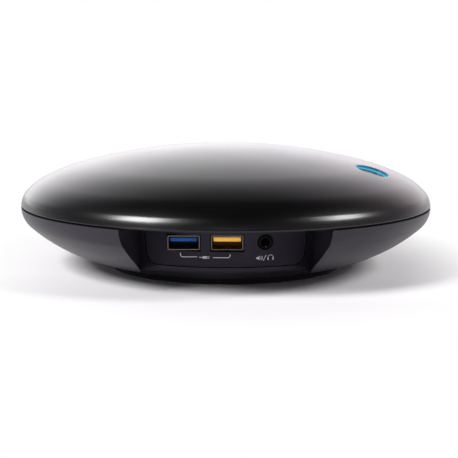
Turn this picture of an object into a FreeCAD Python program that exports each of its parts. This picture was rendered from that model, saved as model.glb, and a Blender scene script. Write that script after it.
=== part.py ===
import FreeCAD, Part
import os
import re
import Sketcher

# Round mini computer: a shallow bowl, a domed cover and the boards between them.
# Origin on the floor under the middle of the disc, +Z up, ports of the front at -Y.

doc = FreeCAD.newDocument("MiniPc")
sheet = doc.addObject("Spreadsheet::Sheet", "Sizes")
places = doc.addObject("App::VarSet", "Places")
subparts = []


def bound(expression):
    """Expression with each plain word pointed at the sheet or at a derived place."""

    def point(match):
        word = match.group(0)
        return ("Places." if word in places.PropertiesList else "Sizes.") + word

    return re.sub(r"\b[a-z]+(?:_[a-z]+)+\b", point, str(expression))


def derive(**expressions):
    """Places worked out from the driving dimensions."""
    for name, expression in expressions.items():
        formula = bound(expression)
        places.addProperty("App::PropertyFloat", name)
        places.setExpression(name, formula)
        places.recompute()


def value(expression):
    number = places.evalExpression(bound(expression))
    return float(getattr(number, "Value", number))


def keep(thing, label):
    thing.Label = label
    subparts.append(thing)
    return thing


def put(thing, x="0", y="0", z="0"):
    for axis, expression in zip("xyz", (x, y, z)):
        thing.setExpression("Placement.Base." + axis, bound(expression))
    return thing


def block(name, width, depth, height, x="0", y="0", z="0"):
    """Box centred on x and y that stands on z."""
    box = doc.addObject("Part::Box", name)
    box.setExpression("Length", bound(width))
    box.setExpression("Width", bound(depth))
    box.setExpression("Height", bound(height))
    return put(box, f"{x} - ({width}) / 2", f"{y} - ({depth}) / 2", z)


def rod(name, radius, height, x="0", y="0", z="0"):
    """Upright cylinder that stands on z."""
    cylinder = doc.addObject("Part::Cylinder", name)
    cylinder.setExpression("Radius", bound(radius))
    cylinder.setExpression("Height", bound(height))
    return put(cylinder, x, y, z)


def rod_along_y(name, radius, length, x, y, z):
    """Cylinder from y towards +Y."""
    cylinder = rod(name, radius, length)
    cylinder.Placement.Rotation = FreeCAD.Rotation(FreeCAD.Vector(1, 0, 0), -90)
    return put(cylinder, x, y, z)


def fuse(name, *shapes):
    union = doc.addObject("Part::MultiFuse", name)
    union.Shapes = list(shapes)
    return union


def cut(name, base, *tools):
    difference = doc.addObject("Part::Cut", name)
    difference.Base = base
    difference.Tool = tools[0] if len(tools) == 1 else fuse(name + "_tools", *tools)
    return difference


def common(name, base, tool):
    shared = doc.addObject("Part::Common", name)
    shared.Base = base
    shared.Tool = tool
    return shared


def group(name, shapes):
    compound = doc.addObject("Part::Compound", name)
    compound.Links = list(shapes)
    return compound


def body(name):
    return doc.addObject("PartDesign::Body", name)


def plane(owner, role):
    return [(feature, "") for feature in owner.Origin.OriginFeatures if feature.Role == role]


def blank_sketch(owner, name, role, level):
    sketch = owner.newObject("Sketcher::SketchObject", name)
    sketch.AttachmentSupport = plane(owner, role)
    sketch.MapMode = "FlatFace"
    sketch.setExpression("AttachmentOffset.Base.z", bound(level))
    return sketch


def drive(sketch, name, expression, *constraint):
    """Constraint of a sketch whose value follows an expression."""
    index = sketch.addConstraint(Sketcher.Constraint(*constraint, value(expression)))
    sketch.renameConstraint(index, name)
    sketch.setExpression("Constraints." + name, bound(expression))


def arc_between(start, finish, radius):
    """Short arc; a positive radius turns left on the way, a negative one turns right."""
    chord = finish - start
    side = 1 if radius > 0 else -1
    normal = FreeCAD.Vector(-chord.y, chord.x, 0).normalize() * side
    rise = (radius ** 2 - (chord.Length / 2) ** 2) ** 0.5
    centre = (start + finish) / 2 + normal * rise
    top = centre - normal * abs(radius)
    return Part.Arc(start, top, finish)


def outline(owner, name, role, corners, level="0"):
    """Closed sketch through corners (x, y) or (x, y, radius of the arc that follows)."""
    sketch = blank_sketch(owner, name, role, level)
    spots = [FreeCAD.Vector(value(corner[0]), value(corner[1]), 0) for corner in corners]
    edges = []
    for index, corner in enumerate(corners):
        start = spots[index]
        finish = spots[(index + 1) % len(spots)]
        if len(corner) == 2:
            edge = sketch.addGeometry(Part.LineSegment(start, finish))
            edges.append((edge, 1, 2))
            continue
        radius = value(corner[2])
        edge = sketch.addGeometry(arc_between(start, finish, radius))
        edges.append((edge, 1, 2) if radius > 0 else (edge, 2, 1))
        drive(sketch, f"bend_{index}", f"abs({corner[2]})", "Radius", edge)
    for index, corner in enumerate(corners):
        edge, first, last = edges[index]
        follower, follower_first, _ = edges[(index + 1) % len(edges)]
        sketch.addConstraint(Sketcher.Constraint("Coincident", edge, last, follower, follower_first))
        drive(sketch, f"across_{index}", corner[0], "DistanceX", edge, first)
        drive(sketch, f"along_{index}", corner[1], "DistanceY", edge, first)
    return sketch


def ring_sketch(owner, name, role, radii, level="0", x="0", y="0"):
    """Sketch of one circle or of two circles round the same centre."""
    sketch = blank_sketch(owner, name, role, level)
    centre = FreeCAD.Vector(value(x), value(y), 0)
    for index, radius in enumerate(radii):
        circle = Part.Circle(centre, FreeCAD.Vector(0, 0, 1), value(radius))
        edge = sketch.addGeometry(circle)
        drive(sketch, f"radius_{index}", radius, "Radius", edge)
        drive(sketch, f"across_{index}", x, "DistanceX", edge, 3)
        drive(sketch, f"along_{index}", y, "DistanceY", edge, 3)
    return sketch


def pad(owner, sketch, length):
    feature = owner.newObject("PartDesign::Pad", sketch.Name + "_pad")
    feature.Profile = sketch
    feature.setExpression("Length", bound(length))
    return feature


def pocket(owner, sketch, length):
    feature = owner.newObject("PartDesign::Pocket", sketch.Name + "_pocket")
    feature.Profile = sketch
    feature.setExpression("Length", bound(length))
    return feature


def turned(name, corners):
    """Body of revolution about Z from an outline of (radius, height) corners."""
    owner = body(name)
    sketch = outline(owner, name + "_profile", "XZ_Plane", corners)
    turn = owner.newObject("PartDesign::Revolution", name + "_turn")
    turn.Profile = sketch
    turn.ReferenceAxis = (sketch, ["V_Axis"])
    turn.Angle = 360
    return owner


def plate(name, corners, level, thickness):
    """Flat body padded up from an outline of (x, y) corners at a level."""
    owner = body(name)
    pad(owner, outline(owner, name + "_outline", "XY_Plane", corners, level), thickness)
    return owner


def upright_plate(name, corners, reach, thickness):
    """Body padded towards -Y from an outline of (x, z) corners, its back at y = -reach."""
    owner = body(name)
    pad(owner, outline(owner, name + "_outline", "XZ_Plane", corners, reach), thickness)
    return owner


def turned_block(name, angle, inner, outer, width, z, height):
    """Box that points outwards at an angle round Z, from the inner to the outer radius."""
    box = doc.addObject("Part::Box", name)
    box.setExpression("Length", bound(f"({outer}) - ({inner})"))
    box.setExpression("Width", bound(width))
    box.setExpression("Height", bound(height))
    box.Placement.Rotation = FreeCAD.Rotation(FreeCAD.Vector(0, 0, 1), angle)
    x = f"({inner}) * cos({angle} * 1 deg) + ({width}) / 2 * sin({angle} * 1 deg)"
    y = f"({inner}) * sin({angle} * 1 deg) - ({width}) / 2 * cos({angle} * 1 deg)"
    return put(box, x, y, z)


# Driving dimensions in millimetres and degrees, one row of the sheet each
driving_sizes = {
    # Casing
    "disc_radius": 90,
    "parting_height": 27.2,
    "crown_band": 26.5,
    "crown_drop": 8.15,
    "flank_band": 9.45,
    "flank_drop": 6.5,
    "shoulder_drop": 6.55,
    "crease_height": 4.8,
    "belt_draft": 1.4,
    "groove_above": 0.5,
    "groove_below": 0.4,
    "casing_wall": 2.2,
    "rim_radius": 10,
    "rim_turn": 48.2,
    "foot_band": 38.9,
    "foot_height": 2.5,
    "foot_width": 4.5,
    "lip_clearance": 0.6,
    "lip_wall": 1.3,
    "lip_rise": 1.4,
    "lip_root": 2,
    "tab_width": 12,
    "tab_wall": 1.5,
    "tab_gap": 0.5,
    "barb_height": 1.2,
    "barb_bite": 0.5,
    "seat_gap": 0.3,
    # Power button
    "button_azimuth": -21.5,
    "button_tilt": 16.9,
    "well_radius": 7.9,
    "ring_gap": 0.1,
    "ring_wall": 0.6,
    "ring_sink": 0.35,
    "ring_length": 3.95,
    "ring_flange": 1.5,
    "ring_flange_top": 2.9,
    "cap_gap": 0.2,
    "cap_sink": 1.5,
    "cap_wall": 1.4,
    "cap_edge": 0.5,
    "cap_length": 3.7,
    "cap_flange": 0.8,
    "cap_flange_height": 0.6,
    "stem_radius": 1.6,
    "stem_end": 6.2,
    "button_travel": 0.5,
    "plunger_radius": 1.75,
    "plunger_length": 1.8,
    "plunger_gap": 0.05,
    "switch_width": 6.2,
    "switch_top": 6.9,
    "switch_height": 3.4,
    "button_board_width": 11,
    "button_board_wall": 1.2,
    "post_reach": 12.2,
    "post_radius": 2,
    "button_screw_radius": 0.8,
    "button_screw_head": 1.7,
    "button_screw_bite": 4,
    "button_screw_crown": 1.1,
    "light_width": 1.6,
    "light_height": 0.7,
    "light_reach": 6.4,
    # Niches and main board level
    "niche_ceiling": 0.6,
    "niche_half_width": 35.3,
    "niche_corner_band": 44,
    "niche_depth_inside": 12,
    "groove_line": 0.1,
    "niche_flare": 9.3,
    "niche_bow": 36,
    "niche_step": 7,
    "panel_band": 32,
    "rear_band": 32,
    "rear_half_width": 46,
    "board_drop": 12.3,
    "board_wall": 1.6,
    # Columns, hatch and its screws
    "column_radius": 3.6,
    "post_inset_x": 5,
    "post_inset_y": 4,
    "post_inset_front": 5,
    "hatch_band": 8.1,
    "ledge_width": 2.5,
    "ledge_height": 1.5,
    "boss_radius": 3.4,
    "boss_height": 5.5,
    "boss_band": 4.4,
    "hatch_screw_radius": 1.25,
    "hatch_screw_bite": 5,
    "column_bore": 1.3,
    # Front port plate
    "insert_half_width": 33.75,
    "insert_bottom": 8.4,
    "insert_lean": 7,
    "insert_corner": 4.5,
    "insert_gap": 0.35,
    "insert_wall": 1.7,
    "insert_sink": 0.1,
    "insert_root": 6,
    # Rear port plate
    "rear_window_half": 44.5,
    "rear_window_drop": 0.5,
    "rear_plate_wall": 1,
    "rear_plate_margin": 1,
    # Hatch
    "hatch_gap": 0.3,
    "hatch_wall": 2,
    "slot_width": 3,
    "slot_pitch": 6.5,
    "slot_count": 5,
    "slot_length": 34,
    "slot_start": -13,
    "arc_slack": 0.001,
    "screw_hole_gap": 0.2,
    "hatch_head_radius": 2.4,
    "hatch_head_height": 1.2,
    # Main board
    "board_side_band": 38,
    "board_rear_gap": 5,
    "board_front_gap": 18,
    "tongue_half_width": 25,
    "tongue_front_gap": 9,
    "lan_x": 25.5,
    "lan_width": 16,
    "lan_gap": 0.2,
    "lan_depth": 16,
    "port_stand_out": 0.6,
    # Drive bay
    "post_head_radius": 2.7,
    "stud_bite": 3,
    "thread_gap": 0.1,
    "tray_gap": 2.4,
    "tray_wall": 1.2,
    "tray_edge": 3.5,
    "rail_x": 36.2,
    "rail_height": 8,
    "rail_length": 76,
    "tray_window": 56,
    "tray_screw_head": 2.6,
    "tray_screw_crown": 1.4,
    "tray_screw_bite": 5,
    "drive_plug_width": 34,
    "drive_plug_depth": 5,
    "drive_plug_height": 5.5,
    # USB receptacles
    "usb_width": 13.1,
    "usb_height": 6,
    "usb_depth": 14,
    "usb_skin": 0.4,
    "usb_back": 4,
    "usb_fit": 0.05,
    "tongue_width": 11.1,
    "tongue_wall": 1.9,
    "tongue_drop": 0.9,
    "tongue_recess": 1,
    "contact_width": 1,
    "contact_pitch": 2.5,
    "contact_length": 7,
    "contact_wall": 0.15,
    "front_usb_sink": 2.6,
    "blue_usb_x": -16.9,
    "amber_usb_x": 0.6,
    "rear_usb_x": 10.5,
    "rear_usb_pitch": 14.5,
    # Headset jack
    "jack_x": 15.9,
    "jack_rise": 3.4,
    "jack_nose_radius": 2.85,
    "jack_nose_sink": 1.8,
    "jack_sink": 5.8,
    "jack_width": 7.2,
    "jack_height": 6.4,
    "jack_depth": 12,
    "jack_bore": 1.8,
    "window_gap": 0.35,
    # Rear sockets
    "hdmi_x": -19.5,
    "hdmi_width": 15,
    "hdmi_height": 6,
    "hdmi_depth": 12,
    "hdmi_tongue_width": 11.4,
    "hdmi_tongue_wall": 1.2,
    "lan_height": 11.6,
    "lan_skin": 1.5,
    "lan_roof": 2.1,
    "dc_x": 39,
    "dc_width": 8.8,
    "dc_height": 9.6,
    "dc_depth": 14,
    "dc_bore": 3.2,
    "dc_rise": 4.8,
    "dc_pin_radius": 1,
    "dc_pin_length": 9,
    "grille_left": -44,
    "grille_slot": 1.8,
    "grille_pitch": 3.2,
    "grille_count": 5,
    "grille_height": 6.5,
    "grille_rise": 0.7,
    # Processor and cooling
    "chip_x": 3.5,
    "chip_y": -2,
    "chip_width": 24,
    "chip_wall": 1.3,
    "die_width": 12,
    "die_wall": 0.8,
    "cold_width": 34,
    "cold_wall": 4,
    "cold_screw_inset": 3,
    "pipe_radius": 2.5,
    "pipe_bend": 12,
    "pipe_inset": 9,
    "pipe_left": -43.5,
    "pipe_margin": 2,
    "fin_count": 8,
    "fin_pitch": 2.1,
    "fin_wall": 0.4,
    "fin_depth": 10,
    "blower_x": -33,
    "blower_y": 19,
    "blower_width": 36,
    "blower_depth": 44,
    "blower_shift": 1,
    "foot_inset": 2.2,
    "blower_wall": 1.2,
    "blower_foot": 1.2,
    "blower_height": 9.5,
    "rotor_radius": 14.5,
    "rotor_gap": 1,
    "eye_radius": 11,
    "hub_radius": 6.5,
    "hub_wall": 1,
    "blade_count": 19,
    "blade_wall": 0.7,
    "shaft_radius": 1,
    "shaft_fit": 0.05,
    "hub_collar": 2.6,
    # Memory socket
    "memory_y": 14,
    "memory_width": 67.6,
    "memory_depth": 6.4,
    "memory_height": 5.2,
    "memory_slot": 1.4,
    "arm_width": 2.4,
    "arm_height": 2.4,
    "arm_length": 22,
    "latch_wall": 0.8,
    "latch_gap": 0.15,
    "latch_lip": 1.6,
    "latch_inset": 3,
    "pivot_radius": 0.8,
    "pivot_length": 1.8,
    "pivot_fit": 0.05,
    # Wireless card
    "wifi_x": -16,
    "wifi_y": -27,
    "wifi_width": 22,
    "wifi_length": 30,
    "wifi_wall": 0.8,
    "wifi_drop": 1.3,
    "wifi_socket_depth": 6,
    "wifi_socket_height": 3.2,
    "wifi_entry": 2.5,
    "wifi_fit": 0.1,
    "wifi_can_width": 15,
    "wifi_can_length": 17,
    "wifi_can_height": 1.4,
    "wifi_screw_radius": 1,
    "wifi_head_radius": 2,
    "wifi_head_height": 0.8,
    # Clock cell, coils and capacitors
    "cell_x": 34,
    "cell_y": -20,
    "cell_radius": 10,
    "cell_height": 3.2,
    "holder_floor": 0.8,
    "holder_wall": 1.2,
    "holder_gap": 0.3,
    "holder_height": 3,
    "coil_x": 27.5,
    "coil_y": -4,
    "coil_width": 7,
    "coil_height": 3.4,
    "coil_pitch": 9,
    "coil_count": 3,
    "can_x": 36.5,
    "can_radius": 3.15,
    "can_height": 5.8,
}
for row, (alias, number) in enumerate(driving_sizes.items(), 1):
    sheet.set(f"A{row}", alias)
    sheet.set(f"B{row}", str(number))
    sheet.setAlias(f"B{row}", alias)
doc.recompute()

# Places worked out from the sizes, each from the ones above it
derive(
    crease_r="disc_radius - belt_draft",
    crease_z="parting_height + crease_height",
    flank_end_r="disc_radius - flank_band",
    flank_end_z="crease_z + shoulder_drop",
    crown_end_r="disc_radius - crown_band",
    crown_end_z="flank_end_z + flank_drop",
    top_z="crown_end_z + crown_drop",
    cover_edge_z="parting_height + groove_above",
    shell_edge_z="parting_height - groove_below",
    crown_radius="(crown_end_r^2 + crown_drop^2) / (2 * crown_drop)",
    crown_turn="asin(crown_end_r / crown_radius) / 1 deg",
    flank_radius="((flank_end_r - crown_end_r)^2 + flank_drop^2)"
    " / (2 * (flank_drop * cos(crown_turn * 1 deg) - (flank_end_r - crown_end_r) * sin(crown_turn * 1 deg)))",
    flank_turn="asin((flank_end_r - crown_end_r) / flank_radius + sin(crown_turn * 1 deg)) / 1 deg",
    shoulder_radius="((flank_end_r - crease_r)^2 + (flank_end_z - crease_z)^2)"
    " / (2 * ((flank_end_r - crease_r) * sin(flank_turn * 1 deg)"
    " + (flank_end_z - crease_z) * cos(flank_turn * 1 deg)))",
    shoulder_r="flank_end_r - shoulder_radius * sin(flank_turn * 1 deg)",
    shoulder_z="flank_end_z - shoulder_radius * cos(flank_turn * 1 deg)",
    inner_share="1 - casing_wall / shoulder_radius",
    foot_radius="disc_radius - foot_band",
    hatch_radius="foot_radius - hatch_band",
    boss_reach="hatch_radius - boss_band",
    rim_end_r="disc_radius - rim_radius * (1 - cos(rim_turn * 1 deg))",
    rim_end_z="shell_edge_z - rim_radius * sin(rim_turn * 1 deg)",
    belly_radius="((rim_end_r - foot_radius)^2 + (rim_end_z - foot_height)^2)"
    " / (2 * ((rim_end_r - foot_radius) * cos(rim_turn * 1 deg)"
    " - (rim_end_z - foot_height) * sin(rim_turn * 1 deg)))",
    belly_r="rim_end_r - belly_radius * cos(rim_turn * 1 deg)",
    belly_z="rim_end_z + belly_radius * sin(rim_turn * 1 deg)",
    floor_z="foot_height + casing_wall",
    lip_r="disc_radius - casing_wall - lip_clearance",
    floor_r="belly_r + sqrt((belly_radius - casing_wall)^2 - (belly_z - floor_z)^2)",
    tab_r="lip_r - lip_wall - tab_gap",
    barb_z="shell_edge_z - lip_root - seat_gap - barb_height",
    button_reach="crown_end_r + flank_radius * (sin(button_tilt * 1 deg) - sin(crown_turn * 1 deg))",
    button_z="crown_end_z - flank_radius * (cos(crown_turn * 1 deg) - cos(button_tilt * 1 deg))",
    ring_outer="well_radius - ring_gap",
    switch_floor="switch_top + switch_height",
    ring_inner="ring_outer - ring_wall",
    ring_end="ring_sink + ring_length",
    cap_radius="ring_inner - cap_gap",
    cap_end="cap_sink + cap_length",
    niche_top="parting_height + groove_above - groove_line - niche_ceiling",
    niche_corner="disc_radius - niche_corner_band",
    panel_radius="disc_radius - panel_band",
    rear_reach="disc_radius - rear_band",
    port_reach="rear_reach + port_stand_out",
    front_usb_reach="panel_radius - front_usb_sink",
    jack_nose_reach="panel_radius - jack_nose_sink",
    jack_front="panel_radius - jack_sink",
    board_height="parting_height - board_drop",
    board_under="board_height - board_wall",
    rear_window_bottom="board_under - rear_window_drop",
    grille_bottom="board_height + grille_rise",
    board_half_width="disc_radius - board_side_band",
    board_rear="rear_reach - board_rear_gap",
    board_front="panel_radius - board_front_gap",
    tongue_front="panel_radius - tongue_front_gap",
    post_x="board_half_width - post_inset_x",
    post_rear_y="board_rear - post_inset_y",
    post_front_y="post_inset_front - board_front",
    tray_half_width="post_x + tray_edge",
    pipe_y="rear_reach - pipe_inset",
    plate_y="rear_reach - casing_wall - rear_plate_wall / 2",
    die_top="board_height + chip_wall + die_wall",
    pipe_x="chip_x",
    cold_top="die_top + cold_wall",
    pipe_z="die_top + cold_wall + pipe_radius",
    tray_height="pipe_z + pipe_radius + tray_gap",
    blower_z="board_height + blower_foot",
    blower_middle="blower_y + blower_shift",
    blower_top="board_height + blower_foot + blower_height",
    memory_z="board_under - memory_height",
    memory_front="memory_y - memory_depth / 2",
    arm_x="(memory_width + arm_width) / 2",
    arm_z="board_under - arm_height",
    arm_end="memory_front - arm_length",
    pivot_y="memory_front - latch_inset",
    latch_top="arm_z - latch_gap",
    wifi_card_z="board_under - wifi_drop - wifi_wall",
)

# Seat of the power button: on the dome, square to it
places.addProperty("App::PropertyPlacement", "button_seat")
places.setExpression("button_seat", bound(
    "create(<<placement>>; create(<<vector>>; button_reach * cos(button_azimuth * 1 deg);"
    " button_reach * sin(button_azimuth * 1 deg); button_z);"
    " create(<<rotation>>; create(<<vector>>; -sin(button_azimuth * 1 deg);"
    " cos(button_azimuth * 1 deg); 0); button_tilt))"))
doc.recompute()

# Casing: domed cover of three tangent arcs over a bowl of two, parted near the widest ring
cover_skin = turned("cover_skin", [
    ("0", "top_z - casing_wall", "casing_wall - crown_radius"),
    ("crown_end_r - casing_wall * sin(crown_turn * 1 deg)",
     "crown_end_z - casing_wall * cos(crown_turn * 1 deg)",
     "casing_wall - flank_radius"),
    ("flank_end_r - casing_wall * sin(flank_turn * 1 deg)",
     "flank_end_z - casing_wall * cos(flank_turn * 1 deg)",
     "casing_wall - shoulder_radius"),
    ("shoulder_r + (crease_r - shoulder_r) * inner_share",
     "shoulder_z + (crease_z - shoulder_z) * inner_share"),
    ("disc_radius - casing_wall", "cover_edge_z"),
    ("disc_radius", "cover_edge_z"),
    ("crease_r", "crease_z", "shoulder_radius"),
    ("flank_end_r", "flank_end_z", "flank_radius"),
    ("crown_end_r", "crown_end_z", "crown_radius"),
    ("0", "top_z"),
])

# Snap tabs of the cover hang inside the bowl's lip and hook under it
snap_angles = (-38, 0, 38, 142, 180, 218)
snap_tabs = []
for number, angle in enumerate(snap_angles):
    snap_tabs.append(turned_block(
        f"snap_tab_{number}", angle, "tab_r - tab_wall", "tab_r", "tab_width",
        "barb_z", "crease_z + casing_wall - barb_z"))
    snap_tabs.append(turned_block(
        f"snap_barb_{number}", angle, "tab_r - tab_wall", "tab_r + tab_gap + barb_bite",
        "tab_width", "barb_z", "barb_height"))

# Power button: a well square to the dome, a lit ring, a sprung cap and its small board

def seat(thing):
    """Moves a piece drawn about its own Z axis into the button's slanted well."""
    thing.setExpression("Placement", "Places.button_seat")
    return thing


button_post_length = "switch_floor - casing_wall / 2"
post_places = (("left", "post_reach"), ("right", "-post_reach"))
posts = [
    rod("button_post_" + side, "post_radius", button_post_length, "0", across, "-switch_floor")
    for side, across in post_places
]
screw_pilots = [
    rod("pilot_" + side, "button_screw_radius", "button_screw_bite", "0", across, "-switch_floor")
    for side, across in post_places
]
button_posts = seat(cut("button_posts", group("post_pair", posts), group("pilot_pair", screw_pilots)))
well_tool = seat(group("well", [rod("well_rod", "well_radius", "4 * casing_wall", z="-2 * casing_wall")]))
keep(cut("cover_cut", fuse("cover_solid", cover_skin, button_posts, *snap_tabs), well_tool), "top_cover")

light_ring = turned("light_ring", [
    ("ring_inner", "-ring_end"),
    ("ring_outer + ring_flange", "-ring_end"),
    ("ring_outer + ring_flange", "-ring_flange_top"),
    ("ring_outer", "-ring_flange_top"),
    ("ring_outer", "-ring_sink"),
    ("ring_inner", "-ring_sink"),
])
keep(seat(light_ring), "button_light_ring")

cap = turned("cap", [
    ("0", "-stem_end"),
    ("stem_radius", "-stem_end"),
    ("stem_radius", "-cap_sink - cap_wall"),
    ("cap_radius - cap_wall", "-cap_sink - cap_wall"),
    ("cap_radius - cap_wall", "-cap_end"),
    ("cap_radius + cap_flange", "-cap_end"),
    ("cap_radius + cap_flange", "-cap_end + cap_flange_height"),
    ("cap_radius", "-cap_end + cap_flange_height"),
    ("cap_radius", "-cap_sink - cap_edge", "cap_edge"),
    ("cap_radius - cap_edge", "-cap_sink"),
    ("0", "-cap_sink"),
])
keep(seat(cap), "power_button")

keep(seat(group("plunger", [
    rod("plunger_rod", "plunger_radius", "plunger_length", z="-stem_end - plunger_length")])),
    "switch_plunger")
keep(seat(cut(
    "switch_case",
    block("switch_block", "switch_width", "switch_width", "switch_height", z="-switch_floor"),
    rod("switch_bore", "plunger_radius + plunger_gap", "switch_height",
        z="-stem_end - plunger_length - button_travel - seat_gap"))),
    "button_switch")
keep(seat(cut(
    "button_board_cut",
    block("button_board_block", "button_board_width", "2 * (post_reach + 1.5 * post_radius)",
          "button_board_wall", z="-switch_floor - button_board_wall"),
    *[rod("button_board_hole_" + side, "button_screw_radius", "button_board_wall",
          "0", across, "-switch_floor - button_board_wall") for side, across in post_places])),
    "button_board")
keep(seat(group("light_pair", [
    block("light_left", "light_width", "light_width", "light_height", "0", "light_reach", "-switch_floor"),
    block("light_right", "light_width", "light_width", "light_height", "0", "-light_reach", "-switch_floor"),
])), "button_lights")
button_screws = []
for side, across in post_places:
    button_screws.append(fuse(
        "button_screw_" + side,
        rod("button_shank_" + side, "button_screw_radius", "button_board_wall + button_screw_bite - seat_gap",
            "0", across, "-switch_floor - button_board_wall"),
        rod("button_head_" + side, "button_screw_head", "button_screw_crown",
            "0", across, "-switch_floor - button_board_wall - button_screw_crown")))
keep(seat(group("button_screw_pair", button_screws)), "button_board_screws")

# Niches: the front one ends at a round panel, the rear one at a flat panel
def niche_prism(name, side, half_width, corner, inner_reach, grow, level, top):
    """Room of a niche between flaring side walls that bow inwards more the lower and further out."""
    owner = body(name)
    outer_reach = "disc_radius + casing_wall"
    sketches = []
    steps = (
        ("low", level), ("middle", "niche_top - 2 * niche_step"), ("upper", "niche_top - niche_step"),
        ("high", top))
    for tag, z in steps:
        lean = f"(niche_top - ({z}))^2 / niche_bow"
        spread = f"tan(niche_flare * 1 deg) - {lean} / ({outer_reach} - {corner})"
        near = f"{half_width} + {grow} + ({inner_reach} - {corner}) * ({spread})"
        far = f"{half_width} + {grow} + ({outer_reach} - {corner}) * ({spread})"
        sketches.append(outline(owner, f"{name}_{tag}", "XY_Plane", [
            (f"-({near})", f"{side} * ({inner_reach})"),
            (f"-({far})", f"{side} * ({outer_reach})"),
            (far, f"{side} * ({outer_reach})"),
            (near, f"{side} * ({inner_reach})"),
        ], z))
    loft = owner.newObject("PartDesign::AdditiveLoft", name + "_loft")
    loft.Profile = sketches[0]
    loft.Sections = sketches[1:]
    loft.Ruled = True
    return owner


below = "foot_height - casing_wall"
front_back = "niche_corner - niche_depth_inside"
front_room = cut(
    "front_room",
    niche_prism("front_prism", "-1", "niche_half_width", "niche_corner", front_back, "0", below, "niche_top"),
    rod("panel_rod", "panel_radius", "parting_height", z=below))
front_mass = cut(
    "front_mass",
    niche_prism("front_outer", "-1", "niche_half_width", "niche_corner", front_back,
                "casing_wall", below, "niche_top + niche_ceiling"),
    rod("panel_inner_rod", "panel_radius - casing_wall", "2 * parting_height", z=below))
rear_room = niche_prism(
    "rear_prism", "1", "rear_half_width", "rear_reach", "rear_reach", "0", below, "niche_top")
rear_mass = niche_prism(
    "rear_outer", "1", "rear_half_width", "rear_reach", "rear_reach - casing_wall",
    "casing_wall", below, "niche_top + niche_ceiling")

# Lower shell: bowl wall, lip, niche walls, board columns and the ledge for the base cover
bowl_outer = turned("bowl_outer", [
    ("0", "foot_height"),
    ("foot_radius", "foot_height", "belly_radius"),
    ("rim_end_r", "rim_end_z", "rim_radius"),
    ("disc_radius", "shell_edge_z"),
    ("0", "shell_edge_z"),
])
bowl_inner = turned("bowl_inner", [
    ("0", "floor_z"),
    ("floor_r", "floor_z", "belly_radius - casing_wall"),
    ("rim_end_r - casing_wall * cos(rim_turn * 1 deg)",
     "rim_end_z + casing_wall * sin(rim_turn * 1 deg)", "rim_radius - casing_wall"),
    ("disc_radius - casing_wall", "shell_edge_z"),
    ("0", "shell_edge_z"),
])
lip = turned("lip", [
    ("lip_r - lip_wall", "shell_edge_z - lip_root"),
    ("disc_radius - casing_wall / 2", "shell_edge_z - lip_root / 2"),
    ("disc_radius - casing_wall / 2", "shell_edge_z"),
    ("lip_r", "shell_edge_z"),
    ("lip_r", "parting_height + lip_rise"),
    ("lip_r - lip_wall", "parting_height + lip_rise"),
])
post_spots = [(x, y) for x in ("-post_x", "post_x") for y in ("post_front_y", "post_rear_y")]
columns = [
    rod(f"column_{number}", "column_radius", "board_under", x, y)
    for number, (x, y) in enumerate(post_spots)
]
column_bores = [
    rod(f"column_bore_{number}", "column_bore", "board_under", x, y, "floor_z + 2 * casing_wall")
    for number, (x, y) in enumerate(post_spots)
]
ledge = turned("ledge", [
    ("hatch_radius - ledge_width", "floor_z"),
    ("hatch_radius + casing_wall", "floor_z"),
    ("hatch_radius + casing_wall", "floor_z + ledge_height"),
    ("hatch_radius - ledge_width", "floor_z + ledge_height"),
])
boss_angles = (45, 135, 225, 315)
boss_spots = [
    (f"boss_reach * cos({angle} * 1 deg)", f"boss_reach * sin({angle} * 1 deg)") for angle in boss_angles
]
bosses = [
    rod(f"boss_{number}", "boss_radius", "boss_height", x, y, "floor_z")
    for number, (x, y) in enumerate(boss_spots)
]
boss_bores = [
    rod(f"boss_bore_{number}", "hatch_screw_radius", "hatch_screw_bite", x, y, "floor_z")
    for number, (x, y) in enumerate(boss_spots)
]
ceiling_disc = rod("ceiling_disc", "disc_radius - seat_gap", "niche_ceiling", z="niche_top")
ceiling = common("ceiling", fuse("both_masses", front_mass, rear_mass), ceiling_disc)
hollow = cut("hollow", bowl_inner, front_mass, rear_mass, ledge, *columns, *bosses)
hatch_hole = rod("hatch_hole", "hatch_radius", "casing_wall", z="foot_height")

# Port plate of the front: a round insert that fills a window in the panel
def insert_outline(grow):
    side = f"insert_half_width + {grow}"
    low = f"insert_bottom - {grow}"
    bend = f"insert_corner + {grow}"
    high = f"niche_top - insert_gap + {grow}"
    bend_z = f"{low} + ({bend}) * (1 - sin(insert_lean * 1 deg))"
    bend_x = f"{side} - ({high} - ({bend_z})) * tan(insert_lean * 1 deg)"
    foot_x = f"{bend_x} - ({bend}) * cos(insert_lean * 1 deg)"
    return [
        (f"-({bend_x})", bend_z, bend),
        (f"-({foot_x})", low),
        (foot_x, low, bend),
        (bend_x, bend_z),
        (side, high),
        (f"-({side})", high),
    ]


window_back = "sqrt((panel_radius - casing_wall)^2 - (insert_half_width + casing_wall)^2) - seat_gap"
window = upright_plate(
    "window", insert_outline("insert_gap"), window_back, f"panel_radius + casing_wall - ({window_back})")
rear_window = block(
    "rear_window", "2 * rear_window_half", "3 * casing_wall", "niche_top - rear_window_bottom",
    "0", "rear_reach", "rear_window_bottom")
shell_solid = fuse("shell_solid", cut("shell_wall", bowl_outer, hollow), lip)
keep(fuse(
    "shell_whole",
    cut("shell_opened", shell_solid, front_room, rear_room, window, rear_window, hatch_hole,
        *column_bores, *boss_bores),
    ceiling), "lower_shell")

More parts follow.
